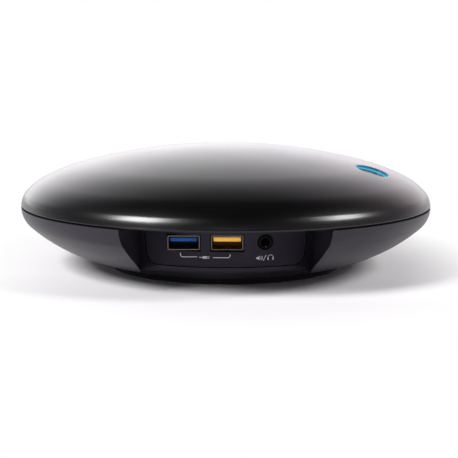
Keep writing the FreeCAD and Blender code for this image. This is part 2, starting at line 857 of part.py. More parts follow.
# Base: round hatch with cooling slots, its screws and the soft foot ring
hatch = body("hatch")
pad(hatch, ring_sketch(hatch, "hatch_disc", "XY_Plane", ["hatch_radius - hatch_gap"], "floor_z - hatch_wall"),
    "hatch_wall")
slot = outline(hatch, "slot", "XY_Plane", [
    ("-slot_length / 2", "slot_start - slot_width / 2"),
    ("slot_length / 2", "slot_start - slot_width / 2", "slot_width / 2 + arc_slack"),
    ("slot_length / 2", "slot_start + slot_width / 2"),
    ("-slot_length / 2", "slot_start + slot_width / 2", "slot_width / 2 + arc_slack"),
], "floor_z")
slot_pocket = pocket(hatch, slot, "hatch_wall")
doc.recompute()
slot_row = hatch.newObject("PartDesign::LinearPattern", "slot_row")
slot_row.Originals = [slot_pocket]
slot_row.Direction = (slot, ["V_Axis"])
slot_row.setExpression("Length", bound("slot_pitch * (slot_count - 1)"))
slot_row.setExpression("Occurrences", bound("slot_count"))
hatch.Tip = slot_row
hatch_holes = []
hatch_screws = []
for number, (x, y) in enumerate(boss_spots):
    hatch_holes.append(rod(
        f"hatch_screw_hole_{number}", "hatch_screw_radius + screw_hole_gap", "hatch_wall", x, y,
        "floor_z - hatch_wall"))
    hatch_holes.append(rod(
        f"hatch_head_seat_{number}", "hatch_head_radius + screw_hole_gap", "hatch_head_height", x, y,
        "floor_z - hatch_wall"))
    hatch_screws.append(fuse(
        f"hatch_screw_{number}",
        rod(f"hatch_head_{number}", "hatch_head_radius", "hatch_head_height", x, y, "floor_z - hatch_wall"),
        rod(f"hatch_shank_{number}", "hatch_screw_radius", "hatch_wall + hatch_screw_bite - seat_gap", x, y,
            "floor_z - hatch_wall")))
keep(cut("hatch_cut", hatch, *hatch_holes), "base_cover")
keep(group("hatch_screw_set", hatch_screws), "base_cover_screws")
foot = body("foot")
foot_rings = ring_sketch(foot, "foot_rings", "XY_Plane", ["foot_radius", "foot_radius - foot_width"])
pad(foot, foot_rings, "foot_height")
keep(foot, "foot_ring")

# Main board: a rectangle with a tongue that carries the ports of the front
mainboard = plate("mainboard", [
    ("-board_half_width", "board_rear"),
    ("-board_half_width", "-board_front"),
    ("-tongue_half_width", "-board_front"),
    ("-tongue_half_width", "-tongue_front"),
    ("tongue_half_width", "-tongue_front"),
    ("tongue_half_width", "-board_front"),
    ("board_half_width", "-board_front"),
    ("board_half_width", "board_rear"),
], "board_under", "board_wall")
lan_notch = block(
    "lan_notch", "lan_width + 2 * lan_gap", "lan_depth + lan_gap", "board_wall",
    "lan_x", "port_reach - (lan_depth + lan_gap) / 2", "board_under")
board_holes = [
    rod(f"board_hole_{number}", "column_bore + lan_gap", "board_wall", x, y, "board_under")
    for number, (x, y) in enumerate(post_spots)
]
keep(cut("mainboard_cut", mainboard, lan_notch, *board_holes), "motherboard")

# Drive bay: posts that clamp the board, a folded tray and its screws
bay_posts = []
tray_holes = []
tray_screws = []
for number, (x, y) in enumerate(post_spots):
    bay_posts.append(cut(
        f"bay_post_{number}",
        fuse(
            f"bay_post_solid_{number}",
            rod(f"bay_stud_{number}", "column_bore - thread_gap", "board_wall + stud_bite", x, y,
                "board_under - stud_bite"),
            rod(f"bay_shaft_{number}", "post_head_radius", "tray_height - board_height", x, y,
                "board_height")),
        rod(f"bay_bore_{number}", "column_bore", "tray_screw_bite", x, y, "tray_height - tray_screw_bite")))
    tray_holes.append(rod(
        f"tray_hole_{number}", "column_bore + lan_gap", "tray_wall", x, y, "tray_height"))
    tray_screws.append(fuse(
        f"tray_screw_{number}",
        rod(f"tray_shank_{number}", "column_bore - thread_gap", "tray_screw_bite + tray_wall - seat_gap",
            x, y, "tray_height - tray_screw_bite + seat_gap"),
        rod(f"tray_head_{number}", "tray_screw_head", "tray_screw_crown", x, y, "tray_height + tray_wall")))
keep(group("bay_post_set", bay_posts), "bay_posts")
tray_middle = "(post_rear_y + post_front_y) / 2"
tray = plate("tray", [
    ("-tray_half_width", "post_rear_y + tray_edge"),
    ("-tray_half_width", "post_front_y - tray_edge"),
    ("tray_half_width", "post_front_y - tray_edge"),
    ("tray_half_width", "post_rear_y + tray_edge"),
], "tray_height", "tray_wall")
rails = [
    block("rail_" + tag, "tray_wall", "rail_length", "rail_height", x, tray_middle, "tray_height")
    for tag, x in (("left", "-rail_x"), ("right", "rail_x"))
]
tray_opening = block(
    "tray_opening", "tray_window", "tray_window", "tray_wall", "0", tray_middle, "tray_height")
keep(cut("tray_cut", fuse("tray_solid", tray, *rails), tray_opening, *tray_holes), "drive_tray")
keep(group("tray_screw_set", tray_screws), "tray_screws")
drive_socket = block(
    "drive_socket", "drive_plug_width", "drive_plug_depth", "drive_plug_height",
    "0", "post_front_y + drive_plug_depth / 2", "tray_height + tray_wall")
drive_slot = block(
    "drive_slot", "drive_plug_width - 2 * tray_wall", "drive_plug_depth - tray_wall",
    "drive_plug_height - 2 * tray_wall", "0", "post_front_y + (drive_plug_depth + tray_wall) / 2",
    "tray_height + 2 * tray_wall")
keep(cut("drive_connector_cut", drive_socket, drive_slot), "drive_connector")

# USB receptacles: a folded metal shell round an insulator with a thin tongue
usb_tongue_top = "board_height + usb_height - usb_skin - tongue_drop"


def usb_port(name, x, face, inward):
    """Shell, insulator and contacts of one port; inward is 1 where +Y leads into the casing."""
    shell = cut(
        name + "_shell",
        block(name + "_outer", "usb_width", "usb_depth", "usb_height",
              x, f"{face} + {inward} * usb_depth / 2", "board_height"),
        block(name + "_inner", "usb_width - 2 * usb_skin", "usb_depth - usb_skin",
              "usb_height - 2 * usb_skin", x, f"{face} + {inward} * (usb_depth - usb_skin) / 2",
              "board_height + usb_skin"))
    insulator = fuse(
        name + "_insulator",
        block(name + "_back", "usb_width - 2 * usb_skin - 2 * usb_fit", "usb_back",
              "usb_height - 2 * usb_skin - 2 * usb_fit",
              x, f"{face} + {inward} * (usb_depth - usb_skin - usb_fit - usb_back / 2)",
              "board_height + usb_skin + usb_fit"),
        block(name + "_tongue", "tongue_width", "usb_depth - usb_back - tongue_recess", "tongue_wall",
              x, f"{face} + {inward} * (tongue_recess + usb_depth - usb_back) / 2",
              f"{usb_tongue_top} - tongue_wall"))
    contacts = []
    for step in (-1.5, -0.5, 0.5, 1.5):
        contacts.append(block(
            f"{name}_contact_{len(contacts)}", "contact_width", "contact_length", "contact_wall",
            f"{x} + {step} * contact_pitch", f"{face} + {inward} * (2 * tongue_recess + contact_length / 2)",
            f"{usb_tongue_top} - tongue_wall - contact_wall"))
    return shell, insulator, contacts


front_face = "-front_usb_reach"
blue_shell, blue_insulator, blue_contacts = usb_port("blue", "blue_usb_x", front_face, "1")
amber_shell, amber_insulator, amber_contacts = usb_port("amber", "amber_usb_x", front_face, "1")
keep(blue_shell, "blue_usb_shell")
keep(blue_insulator, "blue_usb_insulator")
keep(amber_shell, "amber_usb_shell")
keep(amber_insulator, "amber_usb_insulator")
first_shell, first_insulator, first_contacts = usb_port("rear_first", "rear_usb_x", "port_reach", "-1")
second_shell, second_insulator, second_contacts = usb_port(
    "rear_second", "rear_usb_x - rear_usb_pitch", "port_reach", "-1")
keep(group("rear_usb_shell_pair", [first_shell, second_shell]), "rear_usb_shells")
keep(group("rear_usb_insulator_pair", [first_insulator, second_insulator]), "rear_usb_insulators")
keep(group("contact_set", blue_contacts + amber_contacts + first_contacts + second_contacts), "usb_contacts")

# Headset jack: a block on the board with a round nose through the port plate
jack_z = "board_height + jack_rise"
jack = cut(
    "jack_cut",
    fuse(
        "jack_solid",
        block("jack_block", "jack_width", "jack_depth", "jack_height",
              "jack_x", "jack_depth / 2 - jack_front", "board_height"),
        rod_along_y("jack_nose", "jack_nose_radius", "jack_nose_reach - jack_front + seat_gap",
                    "jack_x", "-jack_nose_reach", jack_z)),
    rod_along_y("jack_bore_tool", "jack_bore", "jack_nose_reach - jack_front + jack_depth - casing_wall",
                "jack_x", "-jack_nose_reach", jack_z))
keep(jack, "headset_jack")

insert_skin = body("insert_skin")
pad(insert_skin, ring_sketch(
    insert_skin, "insert_rings", "XY_Plane",
    ["panel_radius - insert_sink", "panel_radius - insert_sink - insert_wall"], "foot_height"),
    "parting_height")
insert_reach = "niche_corner - insert_root"
insert_blank = common(
    "insert_blank", insert_skin,
    upright_plate("insert_block", insert_outline("0"), insert_reach, f"panel_radius - ({insert_reach})"))
port_windows = [
    block(f"{tag}_window", "usb_width + 2 * window_gap", "2 * usb_depth", "usb_height + 2 * window_gap",
          x, front_face, "board_height - window_gap")
    for tag, x in (("blue", "blue_usb_x"), ("amber", "amber_usb_x"))
]
jack_window = rod_along_y(
    "jack_window", "jack_nose_radius + window_gap", "jack_depth",
    "jack_x", "-panel_radius - seat_gap", jack_z)
keep(cut("insert_cut", insert_blank, *port_windows, jack_window), "front_port_plate")

# Rear ports: display, network and power sockets behind a flat plate
rear_usb_spots = ("rear_usb_x", "rear_usb_x - rear_usb_pitch")
rear_windows = [
    block(f"rear_usb_window_{number}", "usb_width + 2 * lan_gap", "3 * rear_plate_wall",
          "usb_height + 2 * lan_gap", x, "plate_y", "board_height - lan_gap")
    for number, x in enumerate(rear_usb_spots)
]
rear_windows.append(block(
    "hdmi_window", "hdmi_width + 2 * lan_gap", "3 * rear_plate_wall", "hdmi_height + 2 * lan_gap",
    "hdmi_x", "plate_y", "board_height - lan_gap"))
rear_windows.append(block(
    "lan_window", "lan_width + 2 * lan_gap", "3 * rear_plate_wall", "lan_height + 2 * lan_gap",
    "lan_x", "plate_y", "board_under - lan_gap"))
rear_windows.append(block(
    "dc_window", "dc_width + 2 * lan_gap", "3 * rear_plate_wall", "dc_height + 2 * lan_gap",
    "dc_x", "plate_y", "board_height - lan_gap"))
grille_slots = []
for number in range(round(value("grille_count"))):
    grille_slots.append(block(
        f"grille_slot_{number}", "grille_slot", "3 * rear_plate_wall", "grille_height",
        f"grille_left + grille_slot + {number} * grille_pitch", "plate_y", "grille_bottom"))
keep(cut(
    "rear_plate_cut",
    block("rear_plate_block", "2 * (rear_window_half + rear_plate_margin)", "rear_plate_wall",
          "niche_top - rear_window_bottom + rear_plate_margin / 2", "0", "plate_y",
          "rear_window_bottom - rear_plate_margin / 2"),
    *rear_windows, *grille_slots), "rear_port_plate")

keep(cut(
    "hdmi_shell_cut",
    block("hdmi_outer", "hdmi_width", "hdmi_depth", "hdmi_height",
          "hdmi_x", "port_reach - hdmi_depth / 2", "board_height"),
    block("hdmi_inner", "hdmi_width - 2 * usb_skin", "hdmi_depth - usb_skin", "hdmi_height - 2 * usb_skin",
          "hdmi_x", "port_reach - (hdmi_depth - usb_skin) / 2", "board_height + usb_skin")),
    "display_shell")
keep(fuse(
    "hdmi_insulator",
    block("hdmi_back", "hdmi_width - 2 * usb_skin - 2 * usb_fit", "usb_back",
          "hdmi_height - 2 * usb_skin - 2 * usb_fit",
          "hdmi_x", "port_reach - hdmi_depth + usb_skin + usb_fit + usb_back / 2",
          "board_height + usb_skin + usb_fit"),
    block("hdmi_tongue", "hdmi_tongue_width", "hdmi_depth - usb_back - tongue_recess", "hdmi_tongue_wall",
          "hdmi_x", "port_reach - (tongue_recess + hdmi_depth - usb_back) / 2",
          "board_height + (hdmi_height - hdmi_tongue_wall) / 2")),
    "display_insulator")
keep(cut(
    "lan_cut",
    block("lan_outer", "lan_width", "lan_depth", "lan_height",
          "lan_x", "port_reach - lan_depth / 2", "board_under"),
    block("lan_inner", "lan_width - 2 * lan_skin", "lan_depth - lan_skin", "lan_height - lan_skin - lan_roof",
          "lan_x", "port_reach - (lan_depth - lan_skin) / 2", "board_under + lan_skin")),
    "network_socket")
keep(cut(
    "dc_cut",
    block("dc_outer", "dc_width", "dc_depth", "dc_height",
          "dc_x", "port_reach - dc_depth / 2", "board_height"),
    rod_along_y("dc_bore_tool", "dc_bore", "dc_depth - casing_wall", "dc_x",
                "port_reach - dc_depth + casing_wall", "board_height + dc_rise")),
    "power_inlet")
keep(group("dc_pin", [rod_along_y(
    "dc_pin_rod", "dc_pin_radius", "dc_pin_length", "dc_x",
    "port_reach - dc_depth + casing_wall", "board_height + dc_rise")]), "power_inlet_pin")

# Processor and cooling: cold plate, heat pipe, fins and a small blower
keep(block("chip_block", "chip_width", "chip_width", "chip_wall", "chip_x", "chip_y", "board_height"),
     "processor_package")
keep(block("die_block", "die_width", "die_width", "die_wall", "chip_x", "chip_y", "board_height + chip_wall"),
     "processor_die")
cold_reach = "(cold_width / 2 - cold_screw_inset)"
cold_spots = [
    (f"chip_x + {dx} * {cold_reach}", f"chip_y + {dy} * {cold_reach}")
    for dx in (-1, 1)
    for dy in (-1, 1)
]
cold_holes = [
    rod(f"cold_hole_{number}", "column_bore + lan_gap", "cold_wall", x, y, "die_top")
    for number, (x, y) in enumerate(cold_spots)
]
cold_block = block("cold_block", "cold_width", "cold_width", "cold_wall", "chip_x", "chip_y", "die_top")
keep(cut("cold_cut", cold_block, *cold_holes), "cold_plate")
cold_screws = []
for number, (x, y) in enumerate(cold_spots):
    cold_screws.append(fuse(
        f"cold_screw_{number}",
        rod(f"cold_shank_{number}", "column_bore", "cold_top - board_height", x, y, "board_height"),
        rod(f"cold_head_{number}", "tray_screw_head", "tray_screw_crown", x, y, "cold_top")))
keep(group("cold_screw_set", cold_screws), "cold_plate_screws")

pipe_along = rod("pipe_along", "pipe_radius", "pipe_x - pipe_bend - pipe_left")
pipe_along.Placement.Rotation = FreeCAD.Rotation(FreeCAD.Vector(0, 1, 0), 90)
put(pipe_along, "pipe_left", "pipe_y", "pipe_z")
pipe_corner = doc.addObject("Part::Torus", "pipe_corner")
pipe_corner.setExpression("Radius1", bound("pipe_bend"))
pipe_corner.setExpression("Radius2", bound("pipe_radius"))
pipe_corner.Angle3 = 90
put(pipe_corner, "pipe_x - pipe_bend", "pipe_y - pipe_bend", "pipe_z")
pipe_down = rod_along_y(
    "pipe_down", "pipe_radius", "pipe_y - pipe_bend - (chip_y - cold_width / 2 + pipe_margin)",
    "pipe_x", "chip_y - cold_width / 2 + pipe_margin", "pipe_z")
keep(fuse("pipe_whole", pipe_along, pipe_corner, pipe_down), "heat_pipe")

fin_bottom = "board_height + blower_foot"
fins = [block(
    "fin_base", "fin_pitch * (fin_count - 1) + fin_wall", "fin_depth", "blower_wall",
    "grille_left + (fin_pitch * (fin_count - 1) + fin_wall) / 2", "pipe_y", fin_bottom)]
fins.append(block(
    "fin_top", "fin_pitch * (fin_count - 1) + fin_wall", "fin_depth", "fin_wall",
    "grille_left + (fin_pitch * (fin_count - 1) + fin_wall) / 2", "pipe_y", "cold_top - fin_wall"))
for number in range(round(value("fin_count"))):
    fins.append(block(
        f"fin_{number}", "fin_wall", "fin_depth", f"cold_top - ({fin_bottom})",
        f"grille_left + fin_wall / 2 + {number} * fin_pitch", "pipe_y", fin_bottom))
fin_legs = [
    rod(f"fin_leg_{number}", "column_bore", "blower_foot", x, "pipe_y", "board_height")
    for number, x in enumerate(("grille_left + 2 * column_bore", "grille_left + fin_pitch * (fin_count - 2)"))
]
keep(fuse("fin_whole", *fins, *fin_legs), "fin_stack")

well_radius_text = "rotor_radius + rotor_gap"
outlet_width = "fin_pitch * (fin_count - 1)"
blower_block = block(
    "blower_block", "blower_width", "blower_depth", "blower_height", "blower_x", "blower_middle", "blower_z")
blower_well = rod(
    "blower_well", well_radius_text, "blower_height", "blower_x", "blower_y", "blower_z + blower_wall")
outlet = block(
    "outlet", outlet_width, "blower_depth", "blower_height - blower_wall",
    f"grille_left + ({outlet_width}) / 2", "blower_middle + blower_depth / 2", "blower_z + blower_wall")
inlet_low = cut(
    "inlet_low",
    rod("inlet_low_rod", "eye_radius", "blower_wall", "blower_x", "blower_y", "blower_z"),
    rod("inlet_low_hub", "hub_radius", "blower_wall", "blower_x", "blower_y", "blower_z"),
    block("inlet_low_spoke", "2 * eye_radius", "3 * blower_wall", "blower_wall",
          "blower_x", "blower_y", "blower_z"))
blower_feet = [
    rod(f"blower_foot_{number}", "post_radius", "blower_foot", x, y, "board_height")
    for number, (x, y) in enumerate((
        ("blower_x - blower_width / 2 + foot_inset", "blower_middle - blower_depth / 2 + foot_inset"),
        ("blower_x + blower_width / 2 - foot_inset", "blower_middle - blower_depth / 2 + foot_inset"),
        ("blower_x + blower_width / 2 - foot_inset", "blower_middle + blower_depth / 2 - foot_inset")))
]
blower_axle = rod(
    "blower_axle", "shaft_radius", "blower_height - 2 * blower_wall", "blower_x", "blower_y",
    "blower_z + blower_wall / 2")
keep(fuse("blower_whole", cut("blower_hollow", blower_block, blower_well, outlet, inlet_low),
          blower_axle, *blower_feet), "blower_housing")
keep(cut(
    "blower_cover_cut",
    block("blower_lid", "blower_width", "blower_depth", "blower_wall",
          "blower_x", "blower_middle", "blower_top"),
    rod("blower_eye", "eye_radius", "blower_wall", "blower_x", "blower_y", "blower_top")), "blower_cover")

rotor_low = "blower_z + blower_wall + seat_gap"
rotor_high = "(blower_height - blower_wall - 2 * seat_gap)"
blades = []
for number in range(round(value("blade_count"))):
    angle = 360 * number / value("blade_count")
    blades.append(turned_block(
        f"blade_{number}", angle, "hub_radius - hub_wall / 2", "rotor_radius", "blade_wall",
        rotor_low, rotor_high))
blade_wheel = group("blade_wheel", blades)
put(blade_wheel, "blower_x", "blower_y", "0")
hub = cut(
    "hub",
    fuse(
        "hub_solid",
        cut(
            "hub_cup",
            rod("hub_outer", "hub_radius", rotor_high, "blower_x", "blower_y", rotor_low),
            rod("hub_inner", "hub_radius - hub_wall", rotor_high, "blower_x", "blower_y",
                f"{rotor_low} - hub_wall")),
        rod("hub_collar_rod", "hub_collar", rotor_high, "blower_x", "blower_y", rotor_low),
        blade_wheel),
    rod("hub_bore", "shaft_radius + shaft_fit", "blower_height - 2 * blower_wall", "blower_x", "blower_y",
        "blower_z + blower_wall / 2 + seat_gap"))
keep(hub, "fan_rotor")

# Memory socket under the board, with two sprung latches that swing outwards
arms = []
pivot_bores = []
for tag, side in (("left", -1), ("right", 1)):
    arms.append(block(
        "memory_arm_" + tag, "arm_width", "arm_length", "arm_height",
        f"{side} * arm_x", "memory_front - arm_length / 2", "arm_z"))
    pivot_bores.append(rod(
        "pivot_bore_" + tag, "pivot_radius + pivot_fit", "pivot_length + latch_gap",
        f"{side} * arm_x", "pivot_y", "arm_z"))
    latch = fuse(
        "memory_latch_solid_" + tag,
        block("latch_strip_" + tag, "latch_wall", "pivot_y - arm_end", "latch_top - memory_z",
              f"{side} * arm_x", "(pivot_y + arm_end) / 2", "memory_z"),
        block("latch_lip_" + tag, "latch_lip", "latch_wall", "latch_top - memory_z",
              f"{side} * (arm_x - latch_lip / 2)", "arm_end + latch_wall / 2", "memory_z"),
        rod("latch_pivot_" + tag, "pivot_radius", "latch_top - memory_z + pivot_length",
            f"{side} * arm_x", "pivot_y", "memory_z"))
    keep(latch, "memory_latch_" + tag)
memory_block = block(
    "memory_block", "memory_width + 2 * arm_width", "memory_depth", "memory_height",
    "0", "memory_y", "memory_z")
memory_slot_tool = block(
    "memory_slot_tool", "memory_width", "memory_depth / 2", "memory_slot",
    "0", "memory_front + memory_depth / 4", "memory_z + (memory_height - memory_slot) / 2")
keep(cut("memory_cut", fuse("memory_solid", memory_block, *arms), memory_slot_tool, *pivot_bores),
     "memory_socket")

# Wireless card on the underside, in its socket and screwed to a small standoff
wifi_end = "wifi_x + wifi_length - wifi_head_radius"
keep(cut(
    "wifi_socket_cut",
    block("wifi_socket_block", "wifi_socket_depth", "wifi_width + 2 * wifi_wall", "wifi_socket_height",
          "wifi_x - wifi_socket_depth / 2 + wifi_entry", "wifi_y", "board_under - wifi_socket_height"),
    block("wifi_socket_slot", "wifi_entry + wifi_fit", "wifi_width + 2 * wifi_fit",
          "wifi_wall + 2 * wifi_fit", "wifi_x + (wifi_entry - wifi_fit) / 2", "wifi_y",
          "wifi_card_z - wifi_fit")), "wifi_socket")
keep(cut(
    "wifi_card_cut",
    fuse(
        "wifi_card_solid",
        block("wifi_card_block", "wifi_length", "wifi_width", "wifi_wall",
              "wifi_x + wifi_length / 2", "wifi_y", "wifi_card_z"),
        block("wifi_can", "wifi_can_width", "wifi_can_length", "wifi_can_height",
              "wifi_x + wifi_length / 2", "wifi_y", "wifi_card_z - wifi_can_height")),
    rod("wifi_hole", "wifi_screw_radius + wifi_fit", "wifi_wall", wifi_end, "wifi_y", "wifi_card_z")),
    "wifi_card")
keep(cut(
    "wifi_standoff_cut",
    rod("wifi_standoff_rod", "wifi_head_radius", "wifi_drop", wifi_end, "wifi_y", "board_under - wifi_drop"),
    rod("wifi_standoff_bore", "wifi_screw_radius", "wifi_drop",
        wifi_end, "wifi_y", "board_under - wifi_drop")),
    "wifi_standoff")
keep(fuse(
    "wifi_screw_solid",
    rod("wifi_head", "wifi_head_radius", "wifi_head_height",
        wifi_end, "wifi_y", "wifi_card_z - wifi_head_height"),
    rod("wifi_shank", "wifi_screw_radius", "wifi_wall + wifi_drop", wifi_end, "wifi_y", "wifi_card_z")),
    "wifi_screw")

# Clock cell in its holder, power coils and capacitors on the board
keep(cut(
    "holder_cut",
    rod("holder_rod", "cell_radius + holder_gap + holder_wall", "holder_height",
        "cell_x", "cell_y", "board_height"),
    rod("holder_well", "cell_radius + holder_gap", "holder_height", "cell_x", "cell_y",
        "board_height + holder_floor")), "cell_holder")
clock_cell = rod("cell_rod", "cell_radius", "cell_height", "cell_x", "cell_y", "board_height + holder_floor")
keep(clock_cell, "clock_cell")
coils = []
cans = []
for number in range(round(value("coil_count"))):
    row = f"coil_y + {number} * coil_pitch"
    coils.append(block(
        f"coil_{number}", "coil_width", "coil_width", "coil_height", "coil_x", row, "board_height"))
    cans.append(rod(f"can_{number}", "can_radius", "can_height", "can_x", row, "board_height"))
keep(group("coil_set", coils), "power_coils")
keep(group("can_set", cans), "capacitors")

# Every object is sound before any file is written
doc.recompute()
for thing in doc.Objects:
    if "Invalid" in thing.State or "Error" in thing.State:
        raise RuntimeError("Broken object: " + thing.Label)
for thing in subparts:
    if thing.Shape.isNull() or not thing.Shape.isValid() or not thing.Shape.Solids:
        raise RuntimeError("Broken sub-part: " + thing.Label)
os.makedirs("parts", exist_ok=True)
for thing in subparts:
    thing.Shape.exportStep(os.path.join("parts", thing.Label + ".step"))
    print(thing.Label, len(thing.Shape.Solids), round(thing.Shape.Volume, 2))
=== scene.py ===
from math import asin, atan2, cos, pi, radians, sin, sqrt, tan

import bmesh
import bpy
from mathutils import Euler, Matrix, Vector


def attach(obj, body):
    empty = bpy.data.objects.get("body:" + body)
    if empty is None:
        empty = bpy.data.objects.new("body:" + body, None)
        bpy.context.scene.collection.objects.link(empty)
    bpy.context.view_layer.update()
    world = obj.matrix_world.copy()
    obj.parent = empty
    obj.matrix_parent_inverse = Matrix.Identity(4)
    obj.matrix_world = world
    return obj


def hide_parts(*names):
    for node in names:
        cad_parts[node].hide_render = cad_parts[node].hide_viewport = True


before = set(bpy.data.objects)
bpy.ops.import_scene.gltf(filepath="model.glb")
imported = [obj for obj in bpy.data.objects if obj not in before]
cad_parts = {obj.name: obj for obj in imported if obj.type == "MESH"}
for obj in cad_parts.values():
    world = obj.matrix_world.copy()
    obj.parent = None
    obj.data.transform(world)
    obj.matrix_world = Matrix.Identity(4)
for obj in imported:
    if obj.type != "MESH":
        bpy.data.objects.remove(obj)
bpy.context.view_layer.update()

mm = 0.001
scene = bpy.context.scene
scene.view_settings.view_transform = "Standard"


# Camera
# It stands a little over half a metre in front of the disc, a touch above it, and looks at the
# parting line through a long lens.
camera_data = bpy.data.cameras.new("front_camera")
camera_data.sensor_width = 36
camera_data.lens = 95.15
camera_data.shift_x = 0.0058
camera = bpy.data.objects.new("front_camera", camera_data)
camera.location = (0, -535.2 * mm, 97.5 * mm)
camera.rotation_euler = Euler((radians(81.24), radians(-0.19), 0), "XYZ")
scene.collection.objects.link(camera)
scene.camera = camera


# Studio
# A white floor, with painted shade on it just in front of the disc, runs back to a white backdrop.
# The room is dim overhead and round the camera, so the dome shines at its far edge. One soft box on
# each side draws a light on the belt, and a faint one in front fills the niche.
def add_nodes(tree_owner):
    tree_owner.use_nodes = True
    tree_owner.node_tree.nodes.clear()
    return tree_owner.node_tree.nodes, tree_owner.node_tree.links


def fill_ramp(ramp, stops):
    """Stops of (position, colour) on a colour ramp; a plain number is a grey."""
    while len(ramp.elements) < len(stops):
        ramp.elements.new(0.5)
    for element, (position, colour) in zip(ramp.elements, stops):
        element.position = position
        element.color = (*colour, 1) if isinstance(colour, tuple) else (colour, colour, colour, 1)


# Light of the room by the height of a direction, and by its turn from the front round the left
backdrop_by_height = (
    (0.0, 1.15), (0.2, 1.12), (0.30, 1.0), (0.387, 0.91), (0.459, 0.74), (0.518, 0.565),
    (0.57, 0.45), (0.668, 0.32), (0.759, 0.187), (0.829, 0.055), (0.89, 0.013), (1.0, 0.02))
backdrop_by_side = (
    (0.0, (0.046, 0.044, 0.052)), (0.25, (0.066, 0.064, 0.072)), (0.333, (0.16, 0.155, 0.168)),
    (0.35, (0.27, 0.264, 0.28)), (0.38, (0.62, 0.605, 0.64)), (0.408, (1.0, 0.975, 1.0)),
    (0.50, (1.0, 0.98, 1.0)), (0.515, (0.93, 0.9, 0.95)), (0.53, (0.84, 0.8, 0.84)),
    (0.56, (0.8, 0.75, 0.79)), (0.586, (0.74, 0.67, 0.7)), (0.608, (0.63, 0.55, 0.58)),
    (0.627, (0.4, 0.34, 0.36)), (0.65, (0.24, 0.21, 0.225)), (0.70, (0.14, 0.124, 0.135)),
    (1.0, (0.046, 0.044, 0.052)))
# Mirrors and clear pieces see the white background too, in this band above the horizon
white_band = ((0.0, (1, 1, 1)), (0.02, (1, 1, 1)), (0.06, (0, 0, 0)))
backdrop_strength = 2.3
world = bpy.data.worlds.new("studio")
nodes, links = add_nodes(world)
direction = nodes.new("ShaderNodeTexCoord")
parts = nodes.new("ShaderNodeSeparateXYZ")
by_height = nodes.new("ShaderNodeValToRGB")
side_angle = nodes.new("ShaderNodeMath")
side_angle.operation = "ARCTAN2"
side_share = nodes.new("ShaderNodeMapRange")
side_share.inputs["From Min"].default_value = -pi
side_share.inputs["From Max"].default_value = pi
by_side = nodes.new("ShaderNodeValToRGB")
both = nodes.new("ShaderNodeVectorMath")
both.operation = "MULTIPLY"
room = nodes.new("ShaderNodeBackground")
room.inputs["Strength"].default_value = backdrop_strength
white = nodes.new("ShaderNodeBackground")
white.inputs["Color"].default_value = (1, 1, 1, 1)
ray = nodes.new("ShaderNodeLightPath")
low_behind = nodes.new("ShaderNodeValToRGB")
mirror_or_clear = nodes.new("ShaderNodeMath")
seen_there = nodes.new("ShaderNodeMath")
seen_there.operation = "MULTIPLY"
seen = nodes.new("ShaderNodeMath")
seen.use_clamp = True
choose = nodes.new("ShaderNodeMixShader")
world_output = nodes.new("ShaderNodeOutputWorld")
fill_ramp(low_behind.color_ramp, white_band)
fill_ramp(by_height.color_ramp, backdrop_by_height)
fill_ramp(by_side.color_ramp, backdrop_by_side)
links.new(direction.outputs["Generated"], parts.inputs[0])
links.new(parts.outputs["Z"], by_height.inputs[0])
links.new(parts.outputs["X"], side_angle.inputs[0])
links.new(parts.outputs["Y"], side_angle.inputs[1])
links.new(side_angle.outputs[0], side_share.inputs["Value"])
links.new(side_share.outputs[0], by_side.inputs[0])
links.new(by_height.outputs["Color"], both.inputs[0])
links.new(by_side.outputs["Color"], both.inputs[1])
links.new(both.outputs["Vector"], room.inputs["Color"])
links.new(parts.outputs["Z"], low_behind.inputs[0])
links.new(ray.outputs["Is Glossy Ray"], mirror_or_clear.inputs[0])
links.new(ray.outputs["Is Transmission Ray"], mirror_or_clear.inputs[1])
links.new(mirror_or_clear.outputs[0], seen_there.inputs[0])
links.new(low_behind.outputs["Color"], seen_there.inputs[1])
links.new(ray.outputs["Is Camera Ray"], seen.inputs[0])
links.new(seen_there.outputs[0], seen.inputs[1])
links.new(seen.outputs[0], choose.inputs[0])
links.new(room.outputs[0], choose.inputs[1])
links.new(white.outputs[0], choose.inputs[2])
links.new(choose.outputs[0], world_output.inputs[0])
scene.world = world


def soft_box(name, azimuth, elevation, size, power):
    """Square lamp that looks at the disc; azimuth 0 is behind the disc and 90 is at +X."""
    azimuth, elevation, distance = radians(azimuth), radians(elevation), 1.2
    data = bpy.data.lights.new(name, "AREA")
    data.shape = "SQUARE"
    data.size = size
    data.energy = power
    lamp = bpy.data.objects.new(name, data)
    out = cos(elevation) * distance
    lamp.location = (out * sin(azimuth), out * cos(azimuth), sin(elevation) * distance)
    lamp.rotation_euler = (-lamp.location).to_track_quat("-Z", "Y").to_euler()
    scene.collection.objects.link(lamp)


soft_box("soft_box_left", -128, 39, 0.42, 17)
soft_box("soft_box_right", 106, 37, 0.36, 9)
soft_box("soft_box_front", 180, 4, 0.42, 0.8)

floor_size = 8.0
# Painted shade: the floor's colour darkens from 3 cm to 9 cm in front of the disc's middle
painted_shade_from, painted_shade_to = -0.03, -0.09
glow_from, glow_to = 0.1, 0.17
floor_mesh = bpy.data.meshes.new("floor")
shape = bmesh.new()
bmesh.ops.create_grid(shape, x_segments=1, y_segments=1, size=floor_size / 2)
shape.to_mesh(floor_mesh)
shape.free()
floor = bpy.data.objects.new("floor", floor_mesh)
white_floor = bpy.data.materials.new("white_floor")
nodes, links = add_nodes(white_floor)
paint_coat = nodes.new("ShaderNodeBsdfDiffuse")
far_glow = nodes.new("ShaderNodeEmission")
far_glow.inputs["Strength"].default_value = 1.0
spot = nodes.new("ShaderNodeTexCoord")
spot_parts = nodes.new("ShaderNodeSeparateXYZ")
nearness = nodes.new("ShaderNodeMapRange")
nearness.inputs["From Min"].default_value = painted_shade_from
nearness.inputs["From Max"].default_value = painted_shade_to
